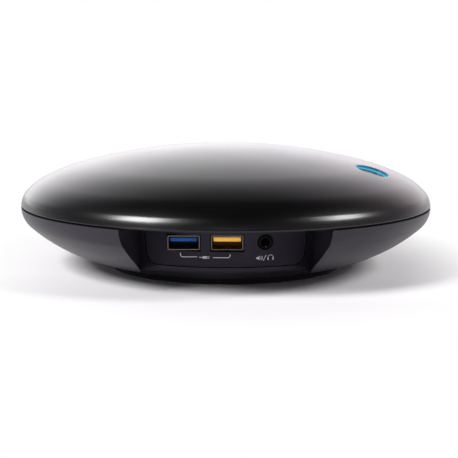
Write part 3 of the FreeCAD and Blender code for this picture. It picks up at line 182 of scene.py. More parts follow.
# Painted shade on the floor, lighter near the disc and darker further in front of it
painted_floor_shade = nodes.new("ShaderNodeValToRGB")
fill_ramp(painted_floor_shade.color_ramp, ((0.0, (0.93, 0.915, 0.925)), (1.0, (0.76, 0.75, 0.76))))
oval = nodes.new("ShaderNodeMapping")
oval.inputs["Scale"].default_value = (1.35, 1, 1)
reach = nodes.new("ShaderNodeVectorMath")
reach.operation = "LENGTH"
far_part = nodes.new("ShaderNodeMapRange")
far_part.interpolation_type = "SMOOTHSTEP"
far_part.inputs["From Min"].default_value = glow_from
far_part.inputs["From Max"].default_value = glow_to
blend_far = nodes.new("ShaderNodeMixShader")
floor_output = nodes.new("ShaderNodeOutputMaterial")
links.new(spot.outputs["Object"], spot_parts.inputs[0])
links.new(spot_parts.outputs["Y"], nearness.inputs["Value"])
links.new(nearness.outputs[0], painted_floor_shade.inputs[0])
links.new(painted_floor_shade.outputs[0], paint_coat.inputs["Color"])
links.new(spot.outputs["Object"], oval.inputs["Vector"])
links.new(oval.outputs[0], reach.inputs[0])
links.new(reach.outputs["Value"], far_part.inputs["Value"])
links.new(far_part.outputs[0], blend_far.inputs[0])
links.new(paint_coat.outputs[0], blend_far.inputs[1])
links.new(far_glow.outputs[0], blend_far.inputs[2])
links.new(blend_far.outputs[0], floor_output.inputs[0])
floor_mesh.materials.append(white_floor)
scene.collection.objects.link(floor)


# Top cover
# A thin moulded dome of satin black plastic. Three tangent arcs make its crown, flank and shoulder,
# and an almost upright belt below a soft crease closes down to the parting groove. Six snap tabs
# under it hook into the bowl's lip, and two posts carry the button's board.
disc_radius = 90 * mm
parting = 27.2 * mm
cover_edge = 27.7 * mm
casing_wall = 2.2 * mm
dome_top = 53.2 * mm
crown_end = Vector((63.5 * mm, 0, 45.05 * mm))
flank_end = Vector((80.55 * mm, 0, 38.55 * mm))
crease = Vector((88.6 * mm, 0, 32.0 * mm))
turn_steps = 240


def outward(turn):
    """Direction in the XZ plane that leans from +Z towards +X."""
    return Vector((sin(turn), 0, cos(turn)))


def along_arc(centre, radius, start, finish, count):
    turns = [start + (finish - start) * step / count for step in range(count + 1)]
    return [centre + radius * outward(turn) for turn in turns]


crown_drop = dome_top - crown_end.z
crown_radius = (crown_end.x ** 2 + crown_drop ** 2) / (2 * crown_drop)
crown_turn = asin(crown_end.x / crown_radius)
crown_middle = Vector((0, 0, dome_top - crown_radius))


def next_arc(start, turn, finish):
    """Centre, radius and end direction of the arc that leaves start at a turn and meets finish."""
    step = finish - start
    radius = -step.length_squared / (2 * step.dot(outward(turn)))
    centre = start - radius * outward(turn)
    return centre, radius, atan2(finish.x - centre.x, finish.z - centre.z)


flank_middle, flank_radius, flank_turn = next_arc(crown_end, crown_turn, flank_end)
shoulder_middle, shoulder_radius, crease_turn = next_arc(flank_end, flank_turn, crease)


def dome_line(inset):
    """Points from the middle of the dome down to the crease, at a depth under the outer skin."""
    line = along_arc(crown_middle, crown_radius - inset, 0, crown_turn, 24)
    line += along_arc(flank_middle, flank_radius - inset, crown_turn, flank_turn, 12)[1:]
    line += along_arc(shoulder_middle, shoulder_radius - inset, flank_turn, crease_turn, 14)[1:]
    return line


def soft_corner(before, corner, after, count=8):
    """Rounded way past a corner, from one point to another."""
    points = []
    for step in range(count + 1):
        share = step / count
        points.append(before.lerp(corner, share).lerp(corner.lerp(after, share), share))
    return points


def finished(name, shape, crisp_angle=30):
    """Object of a bmesh, shaded smooth with crisp edges above an angle."""
    mesh = bpy.data.meshes.new(name)
    shape.to_mesh(mesh)
    shape.free()
    mesh.shade_smooth()
    mesh.set_sharp_from_angle(angle=radians(crisp_angle))
    piece = bpy.data.objects.new(name, mesh)
    scene.collection.objects.link(piece)
    return piece


def spun(name, line, closed=False, steps=turn_steps):
    """Solid of revolution about Z from points in the XZ plane."""
    shape = bmesh.new()
    verts = [shape.verts.new(point) for point in line]
    edges = [shape.edges.new(pair) for pair in zip(verts, verts[1:])]
    if closed:
        edges.append(shape.edges.new((verts[-1], verts[0])))
    bmesh.ops.spin(
        shape, geom=verts + edges, cent=(0, 0, 0), axis=(0, 0, 1), angle=2 * pi, steps=steps, use_merge=True)
    bmesh.ops.remove_doubles(shape, verts=shape.verts, dist=1e-6)
    bmesh.ops.dissolve_degenerate(shape, edges=shape.edges, dist=1e-7)
    bmesh.ops.recalc_face_normals(shape, faces=shape.faces)
    return finished(name, shape)


def worked(piece, operation, *tools):
    """Cuts tools out of a piece, or keeps what it shares with them, and removes the tools."""
    for tool in tools:
        step = piece.modifiers.new("carve", "BOOLEAN")
        step.operation = operation
        step.solver = "EXACT"
        step.object = tool
    graph = bpy.context.evaluated_depsgraph_get()
    mesh = bpy.data.meshes.new_from_object(piece.evaluated_get(graph))
    piece.modifiers.clear()
    piece.data = mesh
    mesh.name = piece.name
    mesh.set_sharp_from_angle(angle=radians(30))
    for tool in tools:
        bpy.data.objects.remove(tool)
    return piece


def joined(piece, *others):
    """Adds the meshes of other objects to a piece and removes them."""
    shape = bmesh.new()
    for source in (piece, *others):
        shape.from_mesh(source.data)
    shape.to_mesh(piece.data)
    shape.free()
    piece.data.set_sharp_from_angle(angle=radians(30))
    for source in others:
        bpy.data.objects.remove(source)
    return piece


def bevel_edges(shape, edges, offset, segments):
    bmesh.ops.bevel(
        shape, geom=edges, offset=offset, offset_type="OFFSET", segments=segments, profile=0.5,
        affect="EDGES", material=-1)


def block(name, low, high, bevel=0.0, segments=2):
    """Box between two corners with softened edges."""
    shape = bmesh.new()
    low, high = Vector(low), Vector(high)
    bmesh.ops.create_cube(shape, size=1)
    bmesh.ops.scale(shape, vec=high - low, verts=shape.verts)
    bmesh.ops.translate(shape, vec=(low + high) / 2, verts=shape.verts)
    if bevel:
        bevel_edges(shape, shape.edges[:], bevel, segments)
    return finished(name, shape)


def rod(name, radius, length, place, segments=48):
    """Cylinder about the Z axis of a place, centred on it."""
    shape = bmesh.new()
    bmesh.ops.create_cone(
        shape, cap_ends=True, segments=segments, radius1=radius, radius2=radius, depth=length)
    bmesh.ops.transform(shape, matrix=place, verts=shape.verts)
    return finished(name, shape)


def moulded_plastic(name, colour, roughness, grain_size, grain_depth, specular=0.5):
    """Moulded plastic with a fine spark-eroded grain and a slightly uneven gloss."""
    material = bpy.data.materials.new(name)
    nodes, links = add_nodes(material)
    shader = nodes.new("ShaderNodeBsdfPrincipled")
    place = nodes.new("ShaderNodeTexCoord")
    grain = nodes.new("ShaderNodeTexNoise")
    bump = nodes.new("ShaderNodeBump")
    haze = nodes.new("ShaderNodeTexNoise")
    gloss = nodes.new("ShaderNodeMapRange")
    tint = nodes.new("ShaderNodeValToRGB")
    output = nodes.new("ShaderNodeOutputMaterial")
    darker, lighter = (tuple(part * share for part in colour) for share in (0.9, 1.1))
    fill_ramp(tint.color_ramp, ((0.3, darker), (0.7, lighter)))
    shader.inputs["Specular IOR Level"].default_value = specular
    grain.inputs["Scale"].default_value = 1 / grain_size
    grain.inputs["Detail"].default_value = 3
    haze.inputs["Scale"].default_value = 45
    gloss.inputs["To Min"].default_value = roughness - 0.025
    gloss.inputs["To Max"].default_value = roughness + 0.025
    bump.inputs["Distance"].default_value = grain_depth
    bump.inputs["Strength"].default_value = 0.6
    for noise in (grain, haze):
        links.new(place.outputs["Object"], noise.inputs["Vector"])
    links.new(grain.outputs["Fac"], bump.inputs["Height"])
    links.new(haze.outputs["Fac"], gloss.inputs["Value"])
    links.new(grain.outputs["Fac"], tint.inputs[0])
    links.new(tint.outputs["Color"], shader.inputs["Base Color"])
    links.new(gloss.outputs[0], shader.inputs["Roughness"])
    links.new(bump.outputs[0], shader.inputs["Normal"])
    links.new(shader.outputs[0], output.inputs[0])
    return material


def dress(piece, material, slot, *nodes, body="casing"):
    """Gives a new piece its material and body and lets it stand for CAD nodes; the slot is not used."""
    piece.data.materials.clear()
    piece.data.materials.append(material)
    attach(piece, body)
    if nodes:
        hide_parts(*nodes)


belt_foot = Vector((disc_radius, 0, cover_edge))
above_crease = dome_line(0)[:-1]
belt = (crease + belt_foot) / 2 + outward(radians(72)) * 0.2 * mm
belt_start = crease.lerp(belt, 0.3)
belt_pull = 2 * belt - (belt_start + belt_foot) / 2
cover_line = above_crease + soft_corner(above_crease[-1], crease, belt_start, 5)[1:]
cover_line += soft_corner(belt_start, belt_pull, belt_foot)[1:-1]
cover_line += [belt_foot + Vector((-0.02, 0, 0.3)) * mm, belt_foot + Vector((-0.15, 0, 0.0)) * mm]
cover_line += [Vector((disc_radius - casing_wall, 0, cover_edge))]
cover_line += list(reversed(dome_line(casing_wall)))
cover = spun("top_cover_shell", cover_line)

well_azimuth, well_tilt = radians(-21.5), radians(16.9)
well_radius, well_depth = 7.9 * mm, 16 * mm
well_seat = flank_middle + flank_radius * outward(well_tilt)
well_place = Matrix.Rotation(well_azimuth, 4, "Z") @ Matrix.Translation(well_seat)
well_place @= Matrix.Rotation(well_tilt, 4, "Y")
worked(cover, "DIFFERENCE", rod("well_tool", well_radius, well_depth, well_place, segments=96))

post_reach, post_radius, post_start, post_end = 12.2 * mm, 2 * mm, 1.4 * mm, 10.3 * mm
tab_inner, tab_outer, barb_outer, tab_half = 83.8 * mm, 85.3 * mm, 86.3 * mm, 6 * mm
tab_low, barb_top, tab_top = 23.3 * mm, 24.5 * mm, 34.0 * mm
cover_parts = []
for side in (-1, 1):
    post_place = well_place @ Matrix.Translation((0, side * post_reach, -(post_end + post_start) / 2))
    cover_parts.append(rod("button_post", post_radius, post_end - post_start, post_place))
for turn in (-38, 0, 38, 142, 180, 218):
    spin_place = Matrix.Rotation(radians(turn), 4, "Z")
    foot = (tab_inner, -tab_half, tab_low)
    tab = block("snap_tab", foot, (tab_outer, tab_half, tab_top))
    barb = block("snap_barb", foot, (barb_outer, tab_half, barb_top), 0.3 * mm)
    for part in (tab, barb):
        part.data.transform(spin_place)
        cover_parts.append(part)
joined(cover, *cover_parts)
cover_black = moulded_plastic("cover_black", (0.0012, 0.0011, 0.0014), 0.26, 0.30 * mm, 0.004 * mm)
dress(cover, cover_black, "cover_black", "top_cover")


# Power button
# A sprung cap of the same black plastic lies deep in a round well, inside a clear ring that is lit
# cyan from below. Its small board, screwed to two posts of the cover, carries a switch with a white
# plunger and the lights.
def lit_plastic(name):
    """Clear plastic that glows brighter towards the lights at its foot."""
    material = bpy.data.materials.new(name)
    nodes, links = add_nodes(material)
    shader = nodes.new("ShaderNodeBsdfPrincipled")
    place = nodes.new("ShaderNodeTexCoord")
    seat = nodes.new("ShaderNodeMapping")
    depth = nodes.new("ShaderNodeSeparateXYZ")
    down = nodes.new("ShaderNodeMapRange")
    glow = nodes.new("ShaderNodeValToRGB")
    output = nodes.new("ShaderNodeOutputMaterial")
    seat.vector_type = "TEXTURE"
    seat.inputs["Location"].default_value = well_place.to_translation()
    seat.inputs["Rotation"].default_value = well_place.to_euler()
    down.inputs["From Min"].default_value = -0.3 * mm
    down.inputs["From Max"].default_value = -1.7 * mm
    fill_ramp(glow.color_ramp, (
        (0.0, (0.004, 0.075, 0.145)), (0.35, (0.01, 0.13, 0.245)), (0.65, (0.06, 0.36, 0.59)),
        (1.0, (0.11, 0.51, 0.71))))
    shader.inputs["Base Color"].default_value = (0.0, 0.05, 0.08, 1)
    shader.inputs["Roughness"].default_value = 0.25
    shader.inputs["Emission Strength"].default_value = 1.0
    links.new(place.outputs["Object"], seat.inputs["Vector"])
    links.new(seat.outputs[0], depth.inputs[0])
    links.new(depth.outputs["Z"], down.inputs["Value"])
    links.new(down.outputs[0], glow.inputs[0])
    links.new(glow.outputs["Color"], shader.inputs["Emission Color"])
    links.new(shader.outputs[0], output.inputs[0])
    return material


def paint(material, *names):
    """Gives carried-over CAD nodes a finish."""
    for name in names:
        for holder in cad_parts[name].material_slots:
            holder.material = material


paint(lit_plastic("cyan_light"), "button_light_ring")
paint(moulded_plastic("button_black", (0.0028, 0.0026, 0.003), 0.2, 0.3 * mm, 0.004 * mm), "power_button")
paint(moulded_plastic("plunger_white", (0.75, 0.74, 0.7), 0.35, 0.4 * mm, 0.003 * mm), "switch_plunger")
paint(moulded_plastic("light_yellow", (0.75, 0.6, 0.2), 0.3, 0.3 * mm, 0.003 * mm), "button_lights")


# Lower shell
# The shallow bowl is moulded of black plastic. A niche with a round panel is let into its front and a
# flat one into its rear. Its lip stands inside the cover, where the snap tabs grip it, and shows as a
# dark groove. Columns and bosses inside take the screws.
shell_edge = 26.8 * mm
foot_height = 2.5 * mm
foot_radius = 51.1 * mm
rim_radius, rim_turn = 10 * mm, radians(48.2)
niche_low, niche_top, niche_ceiling, mass_top = 0.3 * mm, 27.0 * mm, 0.6 * mm, 28 * mm
panel_radius, panel_inner, panel_top, panel_foot = 58 * mm, 50 * mm, 40 * mm, -5 * mm
bend_top, bend_corner, bend_inner, bend_foot = 7 * mm, 4.8 * mm, 55.5 * mm, 4.2 * mm
front_half, front_root, front_corner = 35.3 * mm, 34 * mm, 46 * mm
rear_half, rear_reach = 46 * mm, 58 * mm
niche_flare, niche_bow = radians(9.3), 36 * mm
insert_gap, insert_lean = 0.35 * mm, radians(7)
insert_low, insert_half, insert_corner = 8.4 * mm, 33.75 * mm, 4.5 * mm


def bowl_line(inset):
    """Points of the bowl's section from its foot up to its edge, at a depth under the outer skin."""
    rim_middle = Vector((disc_radius - rim_radius, 0, shell_edge))
    rim_end = rim_middle + rim_radius * Vector((cos(rim_turn), 0, -sin(rim_turn)))
    foot = Vector((foot_radius, 0, foot_height))
    inward = Vector((-cos(rim_turn), 0, sin(rim_turn)))
    step = foot - rim_end
    belly_radius = step.length_squared / (2 * step.dot(inward))
    belly_middle = rim_end + belly_radius * inward
    radius = belly_radius - inset
    start = pi / 2 + asin((belly_middle.z - foot_height - inset) / radius)
    finish = pi / 2 + rim_turn
    line = along_arc(belly_middle, radius, start, finish, 26)
    line += along_arc(rim_middle, rim_radius - inset, finish, pi / 2, 12)[1:]
    return line


def niche_prism(name, side, half_width, corner, inner_reach, grow, high):
    """Room of a niche between flaring side walls that bow inwards more the lower and further out."""
    shape = bmesh.new()
    levels, columns = 14, 8
    outer_reach = disc_radius + casing_wall
    reaches = [inner_reach + (outer_reach - inner_reach) * column / columns for column in range(columns + 1)]
    rows = []
    for row in range(levels + 1):
        level = niche_low + (high - niche_low) * row / levels
        spread = tan(niche_flare) - (niche_top - level) ** 2 / niche_bow / (outer_reach - corner)
        right = [(half_width + grow + (reach - corner) * spread, side * reach) for reach in reaches]
        around = right + [(-x, y) for x, y in reversed(right)]
        rows.append([shape.verts.new((x, y, level)) for x, y in around])
    for lower, upper in zip(rows, rows[1:]):
        for here, there in zip(range(len(lower)), [*range(1, len(lower)), 0]):
            shape.faces.new((lower[here], lower[there], upper[there], upper[here]))
    shape.faces.new(rows[0])
    shape.faces.new(rows[-1])
    bmesh.ops.recalc_face_normals(shape, faces=shape.faces)
    return finished(name, shape)


def upright_rod(name, radius, low, high, x=0.0, y=0.0, segments=turn_steps):
    return rod(name, radius, high - low, Matrix.Translation((x, y, (low + high) / 2)), segments=segments)


def front_mass(name):
    """Room of the front niche with its walls."""
    prism = niche_prism(name, -1, front_half, front_corner, front_root, casing_wall, mass_top)
    back = upright_rod("panel_back", panel_radius - casing_wall, panel_foot, panel_top)
    return worked(prism, "DIFFERENCE", back)


def rear_mass(name):
    return niche_prism(name, 1, rear_half, rear_reach, rear_reach - casing_wall, casing_wall, mass_top)


outer = [Vector((0, 0, foot_height))] + bowl_line(0) + [Vector((0, 0, shell_edge))]
inner = [Vector((0, 0, foot_height + casing_wall))] + bowl_line(casing_wall)
inner += [Vector((disc_radius - casing_wall, 0, parting)), Vector((0, 0, parting))]
hollow = worked(spun("hollow", inner), "DIFFERENCE", front_mass("front_mass"), rear_mass("rear_mass"))


def niche_rooms():
    """Open room of both niches; the front one ends at the round panel with its softened lower edge."""
    front = niche_prism("front_room", -1, front_half, front_corner, front_root, 0, niche_top)
    panel = [Vector((0, 0, panel_top)), Vector((panel_radius, 0, panel_top))]
    panel += soft_corner(
        Vector((panel_radius, 0, bend_top)), Vector((panel_radius, 0, bend_corner)),
        Vector((bend_inner, 0, bend_foot)))
    panel += [Vector((panel_inner, 0, panel_foot)), Vector((0, 0, panel_foot))]
    worked(front, "DIFFERENCE", spun("panel_tool", panel))
    return front, niche_prism("rear_room", 1, rear_half, rear_reach, rear_reach, 0, niche_top)


def insert_block(name, grow, low_y, high_y):
    """Upright slab with the outline of the front port plate: sides that lean in to rounded feet."""
    low, high = insert_low - grow, niche_top - insert_gap + grow
    half, corner = insert_half + grow, insert_corner + grow
    bend_z = low + corner * (1 - sin(insert_lean))
    bend_x = half - (high - bend_z) * tan(insert_lean) - corner * cos(insert_lean)
    right = [(half, high)]
    for step in range(13):
        turn = insert_lean + (pi / 2 - insert_lean) * step / 12
        right.append((bend_x + corner * cos(turn), low + corner * (1 - sin(turn))))
    shape = bmesh.new()
    around = right + [(-x, z) for x, z in reversed(right)]
    front = shape.faces.new([shape.verts.new((x, low_y, z)) for x, z in around])
    pushed = bmesh.ops.extrude_face_region(shape, geom=[front])["geom"]
    back = [item for item in pushed if isinstance(item, bmesh.types.BMVert)]
    bmesh.ops.translate(shape, vec=(0, high_y - low_y, 0), verts=back)
    bmesh.ops.recalc_face_normals(shape, faces=shape.faces)
    return finished(name, shape)


window_front, window_back = -61 * mm, -42 * mm
rear_window_half, rear_window_low, rear_window_in, rear_window_out = 44.5 * mm, 12.8 * mm, 54 * mm, 62 * mm
hatch_radius, hatch_low, hatch_top = 43 * mm, 1 * mm, 6 * mm
window = insert_block("window", insert_gap, window_front, window_back)
rear_window = block(
    "rear_window", (-rear_window_half, rear_window_in, rear_window_low),
    (rear_window_half, rear_window_out, niche_top))
hatch_hole = upright_rod("hatch_hole", hatch_radius, hatch_low, hatch_top)
shell = worked(
    spun("lower_shell_bowl", outer), "DIFFERENCE",
    hollow, *niche_rooms(), window, rear_window, hatch_hole)


def ceiling(name, mass):
    disc = upright_rod(name, disc_radius - casing_wall, niche_top, niche_top + niche_ceiling)
    return worked(disc, "INTERSECT", mass)


lip_outer, lip_wall, lip_top = 87.2 * mm, 1.3 * mm, 28.6 * mm
root_radius, root_low, root_turn, root_top = 88.9 * mm, 24.8 * mm, 25.8 * mm, shell_edge - 0.05 * mm
lip = spun("lip", [
    Vector((lip_outer - lip_wall, 0, root_low)), Vector((root_radius, 0, root_turn)),
    Vector((root_radius, 0, root_top)), Vector((lip_outer, 0, root_top)),
    Vector((lip_outer, 0, lip_top)), Vector((lip_outer - lip_wall, 0, lip_top))], closed=True)
worked(lip, "DIFFERENCE", *niche_rooms())
ledge_inner, ledge_outer, ledge_top = 40.5 * mm, 45.2 * mm, 6.2 * mm
ledge_low_inner, ledge_low_outer = 4.7 * mm, 4.6 * mm
ledge = spun("ledge", [
    Vector((ledge_inner, 0, ledge_low_inner)), Vector((ledge_outer, 0, ledge_low_outer)),
    Vector((ledge_outer, 0, ledge_top)), Vector((ledge_inner, 0, ledge_top))], closed=True, steps=96)
front_ceiling = ceiling("front_ceiling", front_mass("front_cut"))
rear_ceiling = ceiling("rear_ceiling", rear_mass("rear_cut"))
shell_parts = [lip, ledge, front_ceiling, rear_ceiling]
sunk = 0.4 * mm
within_wall = [Vector((0, 0, foot_height + sunk))] + bowl_line(sunk) + [Vector((0, 0, shell_edge))]
column_radius, column_low, column_top = 3.6 * mm, 1 * mm, 13.3 * mm
column_x, column_front, column_rear = 47 * mm, -35 * mm, 49 * mm
for x in (-column_x, column_x):
    for y in (column_front, column_rear):
        column = upright_rod("column", column_radius, column_low, column_top, x, y, 32)
        shell_parts.append(worked(column, "INTERSECT", spun("within_wall", within_wall, steps=96)))
boss_reach, boss_radius, boss_low, boss_top = 38.6 * mm, 3.4 * mm, 6.1 * mm, 10.2 * mm
for turn in (45, 135, 225, 315):
    x, y = boss_reach * cos(radians(turn)), boss_reach * sin(radians(turn))
    shell_parts.append(upright_rod("boss", boss_radius, boss_low, boss_top, x, y, 32))
joined(shell, *shell_parts)
shell_black = moulded_plastic("shell_black", (0.026, 0.0225, 0.0315), 0.36, 0.30 * mm, 0.005 * mm, 0.22)
dress(shell, shell_black, "shell_black", "lower_shell")


# Front port plate
# A separate curved plate fills the window of the niche with a hairline gap. It is the same black
# plastic, a touch duller, and carries small white marks printed under its ports. The marks are drawn
# flat in millimetres and laid on the plate.
paint(moulded_plastic("port_plate_black", (0.042, 0.037, 0.051), 0.5, 0.25 * mm, 0.006 * mm, 0.04),
      "front_port_plate")
print_reach = panel_radius - 0.06 * mm
port_level = 14.9 * mm
blue_usb_x, amber_usb_x = -16.9 * mm, 0.6 * mm


def stroke(shape, points, width):
    """Flat line of a width in the XZ plane through points (x, z) in millimetres."""
    corners = [Vector((x, 0, z)) * mm for x, z in points]
    points = []
    for first, second in zip(corners, corners[1:]):
        count = max(1, round((second - first).length / (0.7 * mm)))
        points += [first.lerp(second, step / count) for step in range(count)]
    points.append(corners[-1])
    rows = []
    for before, point, after in zip(points[:1] + points, points, points[1:] + points[-1:]):
        along = (after - before).normalized()
        across = Vector((-along.z, 0, along.x)) * width * mm / 2
        rows.append((shape.verts.new(point + across), shape.verts.new(point - across)))
    for first, second in zip(rows, rows[1:]):
        shape.faces.new((first[0], second[0], second[1], first[1]))


def filled(shape, points):
    shape.faces.new([shape.verts.new(Vector((x, 0, z)) * mm) for x, z in points])


def oblong(shape, left, low, right, high):
    filled(shape, [(left, low), (right, low), (right, high), (left, high)])


def bend_points(x, z, radius, start, finish, count=8):
    """Points (x, z) of an arc; angles in degrees, 0 towards +X and 90 upwards."""
    turns = [radians(start + (finish - start) * step / count) for step in range(count + 1)]
    return [(x + radius * cos(turn), z + radius * sin(turn)) for turn in turns]


shape = bmesh.new()
mark_level = 12.3
left_bend = bend_points(-17.2, mark_level + 0.85, 1.0, 180, 270, 6)
right_bend = bend_points(0.8, mark_level + 1.0, 1.0, 270, 360, 6)
stroke(shape, [(-18.2, 13.75)] + left_bend + [(-11.5, mark_level + 0.15)], 0.28)
stroke(shape, [(-5.1, mark_level)] + right_bend + [(1.8, 13.75)], 0.28)
# Plain plug sign between the two arms of the bracket: a plug body with two prongs and its lead
stroke(shape, [(-10.6, mark_level), (-9.2, mark_level)], 0.24)
oblong(shape, -9.2, mark_level - 0.5, -7.6, mark_level + 0.5)
for level in (mark_level + 0.28, mark_level - 0.28):
    stroke(shape, [(-7.6, level), (-6.5, level)], 0.2)
# Loudspeaker, slash and headphones under the headset jack
sign_level = 11.95
oblong(shape, 12.3, sign_level - 0.4, 12.9, sign_level + 0.4)
filled(shape, [
    (12.95, sign_level - 0.4), (13.6, sign_level - 0.95), (13.6, sign_level + 0.95),
    (12.95, sign_level + 0.4)])
for radius in (0.85, 1.4):
    stroke(shape, bend_points(13.35, sign_level, radius, -40, 40), 0.2)
stroke(shape, [(15.15, sign_level - 1.1), (16.25, sign_level + 1.1)], 0.26)
head_x = 18.1
stroke(shape, bend_points(head_x, sign_level + 0.05, 1.05, -35, 215, 16), 0.22)
for side in (-1, 1):
    filled(shape, [
        (head_x + side * 0.75, sign_level - 0.95), (head_x + side * 1.2, sign_level - 0.95),
        (head_x + side * 1.3, sign_level + 0.1), (head_x + side * 0.85, sign_level + 0.1)][::side])
for face in shape.faces:
    face.normal_update()
    if face.normal.y > 0:
        face.normal_flip()
for vert in shape.verts:
    vert.co.y = -sqrt(print_reach ** 2 - vert.co.x ** 2)
marks = finished("printed_marks", shape)
white_print = moulded_plastic("white_print", (0.8, 0.8, 0.82), 0.5, 0.15 * mm, 0.002 * mm, 0.3)
dress(marks, white_print, "port_plate_black")


# USB receptacles
# Four folded steel sleeves with a flared mouth and spring tabs hold a plastic tongue with its gold
# contacts: blue and amber at the front, black behind. Each is soldered to the edge of the board.
def brushed_metal(name, colour, roughness):
    """Rolled or plated metal with fine lines along X and a little haze."""
    scratch_size = 0.25 * mm
    material = bpy.data.materials.new(name)
    nodes, links = add_nodes(material)
    shader = nodes.new("ShaderNodeBsdfPrincipled")
    place = nodes.new("ShaderNodeTexCoord")
    stretch = nodes.new("ShaderNodeMapping")
    lines = nodes.new("ShaderNodeTexNoise")
    gloss = nodes.new("ShaderNodeMapRange")
    bump = nodes.new("ShaderNodeBump")
    tint = nodes.new("ShaderNodeValToRGB")
    output = nodes.new("ShaderNodeOutputMaterial")
    stretch.inputs["Scale"].default_value = (0.12, 1, 1)
    lines.inputs["Scale"].default_value = 1 / scratch_size
    lines.inputs["Detail"].default_value = 4
    fill_ramp(tint.color_ramp, ((0.3, tuple(part * 0.88 for part in colour)), (0.7, colour)))
    gloss.inputs["To Min"].default_value = roughness - 0.06
    gloss.inputs["To Max"].default_value = roughness + 0.08
    bump.inputs["Distance"].default_value = 0.002 * mm
    bump.inputs["Strength"].default_value = 0.4
    shader.inputs["Metallic"].default_value = 1.0
    links.new(place.outputs["Object"], stretch.inputs["Vector"])
    links.new(stretch.outputs[0], lines.inputs["Vector"])
    for socket in (gloss.inputs["Value"], tint.inputs[0], bump.inputs["Height"]):
        links.new(lines.outputs["Fac"], socket)
    links.new(tint.outputs["Color"], shader.inputs["Base Color"])
    links.new(gloss.outputs[0], shader.inputs["Roughness"])
    links.new(bump.outputs[0], shader.inputs["Normal"])
    links.new(shader.outputs[0], output.inputs[0])
    return material


port_steel = brushed_metal("port_steel", (0.185, 0.155, 0.138), 0.36)
contact_gold = brushed_metal("contact_gold", (0.86, 0.62, 0.28), 0.25)
usb_width, usb_height, usb_depth, usb_skin = 13.1 * mm, 6 * mm, 14 * mm, 0.4 * mm
tongue_top, tongue_wall, tongue_half = port_level + usb_height - usb_skin - 0.55 * mm, 1.7 * mm, 5.55 * mm
front_face, rear_face = -55.4 * mm, 58.6 * mm


def sleeve(name, x, face, inward, width, height, depth, skin, level, corner, chamfer=0.0):
    """Folded steel sleeve open at its mouth; inward is +1 when it goes back towards +Y."""
    shape = bmesh.new()
    bmesh.ops.create_cube(shape, size=1)
    bmesh.ops.scale(shape, vec=(width, depth, height), verts=shape.verts)
    bmesh.ops.translate(shape, vec=(x, face + inward * depth / 2, level + height / 2), verts=shape.verts)
    along = [edge for edge in shape.edges if abs(edge.verts[0].co.y - edge.verts[1].co.y) > depth / 2]
    low = [edge for edge in along if edge.verts[0].co.z < level + height / 2]
    high = [edge for edge in along if edge not in low]
    if chamfer:
        bevel_edges(shape, low, chamfer, 1)
        along = high
    bevel_edges(shape, along, corner, 4)
    shape.faces.ensure_lookup_table()
    mouth = min(shape.faces, key=lambda item: abs(item.calc_center_median().y - face))
    rim = bmesh.ops.inset_region(shape, faces=[mouth], thickness=skin, use_even_offset=True)
    mouth = min(
        (item for item in shape.faces if item not in rim["faces"]),
        key=lambda item: abs(item.calc_center_median().y - face))
    pushed = bmesh.ops.extrude_discrete_faces(shape, faces=[mouth])["faces"]
    back = list({vert for item in pushed for vert in item.verts})
    bmesh.ops.translate(shape, vec=(0, inward * (depth - skin), 0), verts=back)
    bmesh.ops.recalc_face_normals(shape, faces=shape.faces)
    return finished(name, shape)


def spring_tab(name, x, face, inward, level, side):
    """Bent spring of a sleeve's floor (side 1) or roof (side -1) that grips the plug."""
    width, length, start = 2.2 * mm, 7 * mm, 1.2 * mm
    lift, bend, clearance, wall = 0.55 * mm, 0.7, 0.04 * mm, 0.12 * mm
    shape = bmesh.new()
    bmesh.ops.create_grid(shape, x_segments=1, y_segments=8, size=0.5)
    for vert in shape.verts:
        share = vert.co.y + 0.5
        rise = sin(pi * share / bend) if share < bend else 0.0
        taper = 1 - 0.25 * abs(share - bend / 2)
        vert.co = (
            x + vert.co.x * width * taper, face + inward * (start + share * length),
            level + side * (clearance + lift * rise))
    bmesh.ops.recalc_face_normals(shape, faces=shape.faces)
    bmesh.ops.solidify(shape, geom=shape.faces[:], thickness=wall)
    bmesh.ops.recalc_face_normals(shape, faces=shape.faces)
    return finished(name, shape)


def usb_sleeve(name, x, face, inward):
    edge, spring_offset = 0.1 * mm, 2.8 * mm
    floor_level, roof_level = port_level + usb_skin, port_level + usb_height - usb_skin
    parts = [sleeve(
        name, x, face, inward, usb_width - 2 * edge, usb_height - 2 * edge, usb_depth, usb_skin - edge,
        port_level + edge, 0.6 * mm)]
    for middle in (x - spring_offset, x + spring_offset):
        parts.append(spring_tab("floor_spring", middle, face, inward, floor_level, 1))
        parts.append(spring_tab("roof_spring", middle, face, inward, roof_level, -1))
    return joined(*parts)


def usb_tongue(name, x, face, inward):
    """Tongue with a rounded nose on a block at the back of the sleeve."""
    recess, root_depth, root_half, root_gap = 1.0 * mm, 9.9 * mm, 6.1 * mm, 0.05 * mm
    front, root = face + inward * recess, face + inward * root_depth
    back = face + inward * (usb_depth - usb_skin)
    nose = block(
        name, (x - tongue_half, min(front, root), tongue_top - tongue_wall),
        (x + tongue_half, max(front, root), tongue_top), 0.3 * mm, 3)
    foot = block(
        "tongue_root", (x - root_half, min(root, back), port_level + usb_skin + root_gap),
        (x + root_half, max(root, back), port_level + usb_height - usb_skin - root_gap), 0.1 * mm)
    return joined(nose, foot)


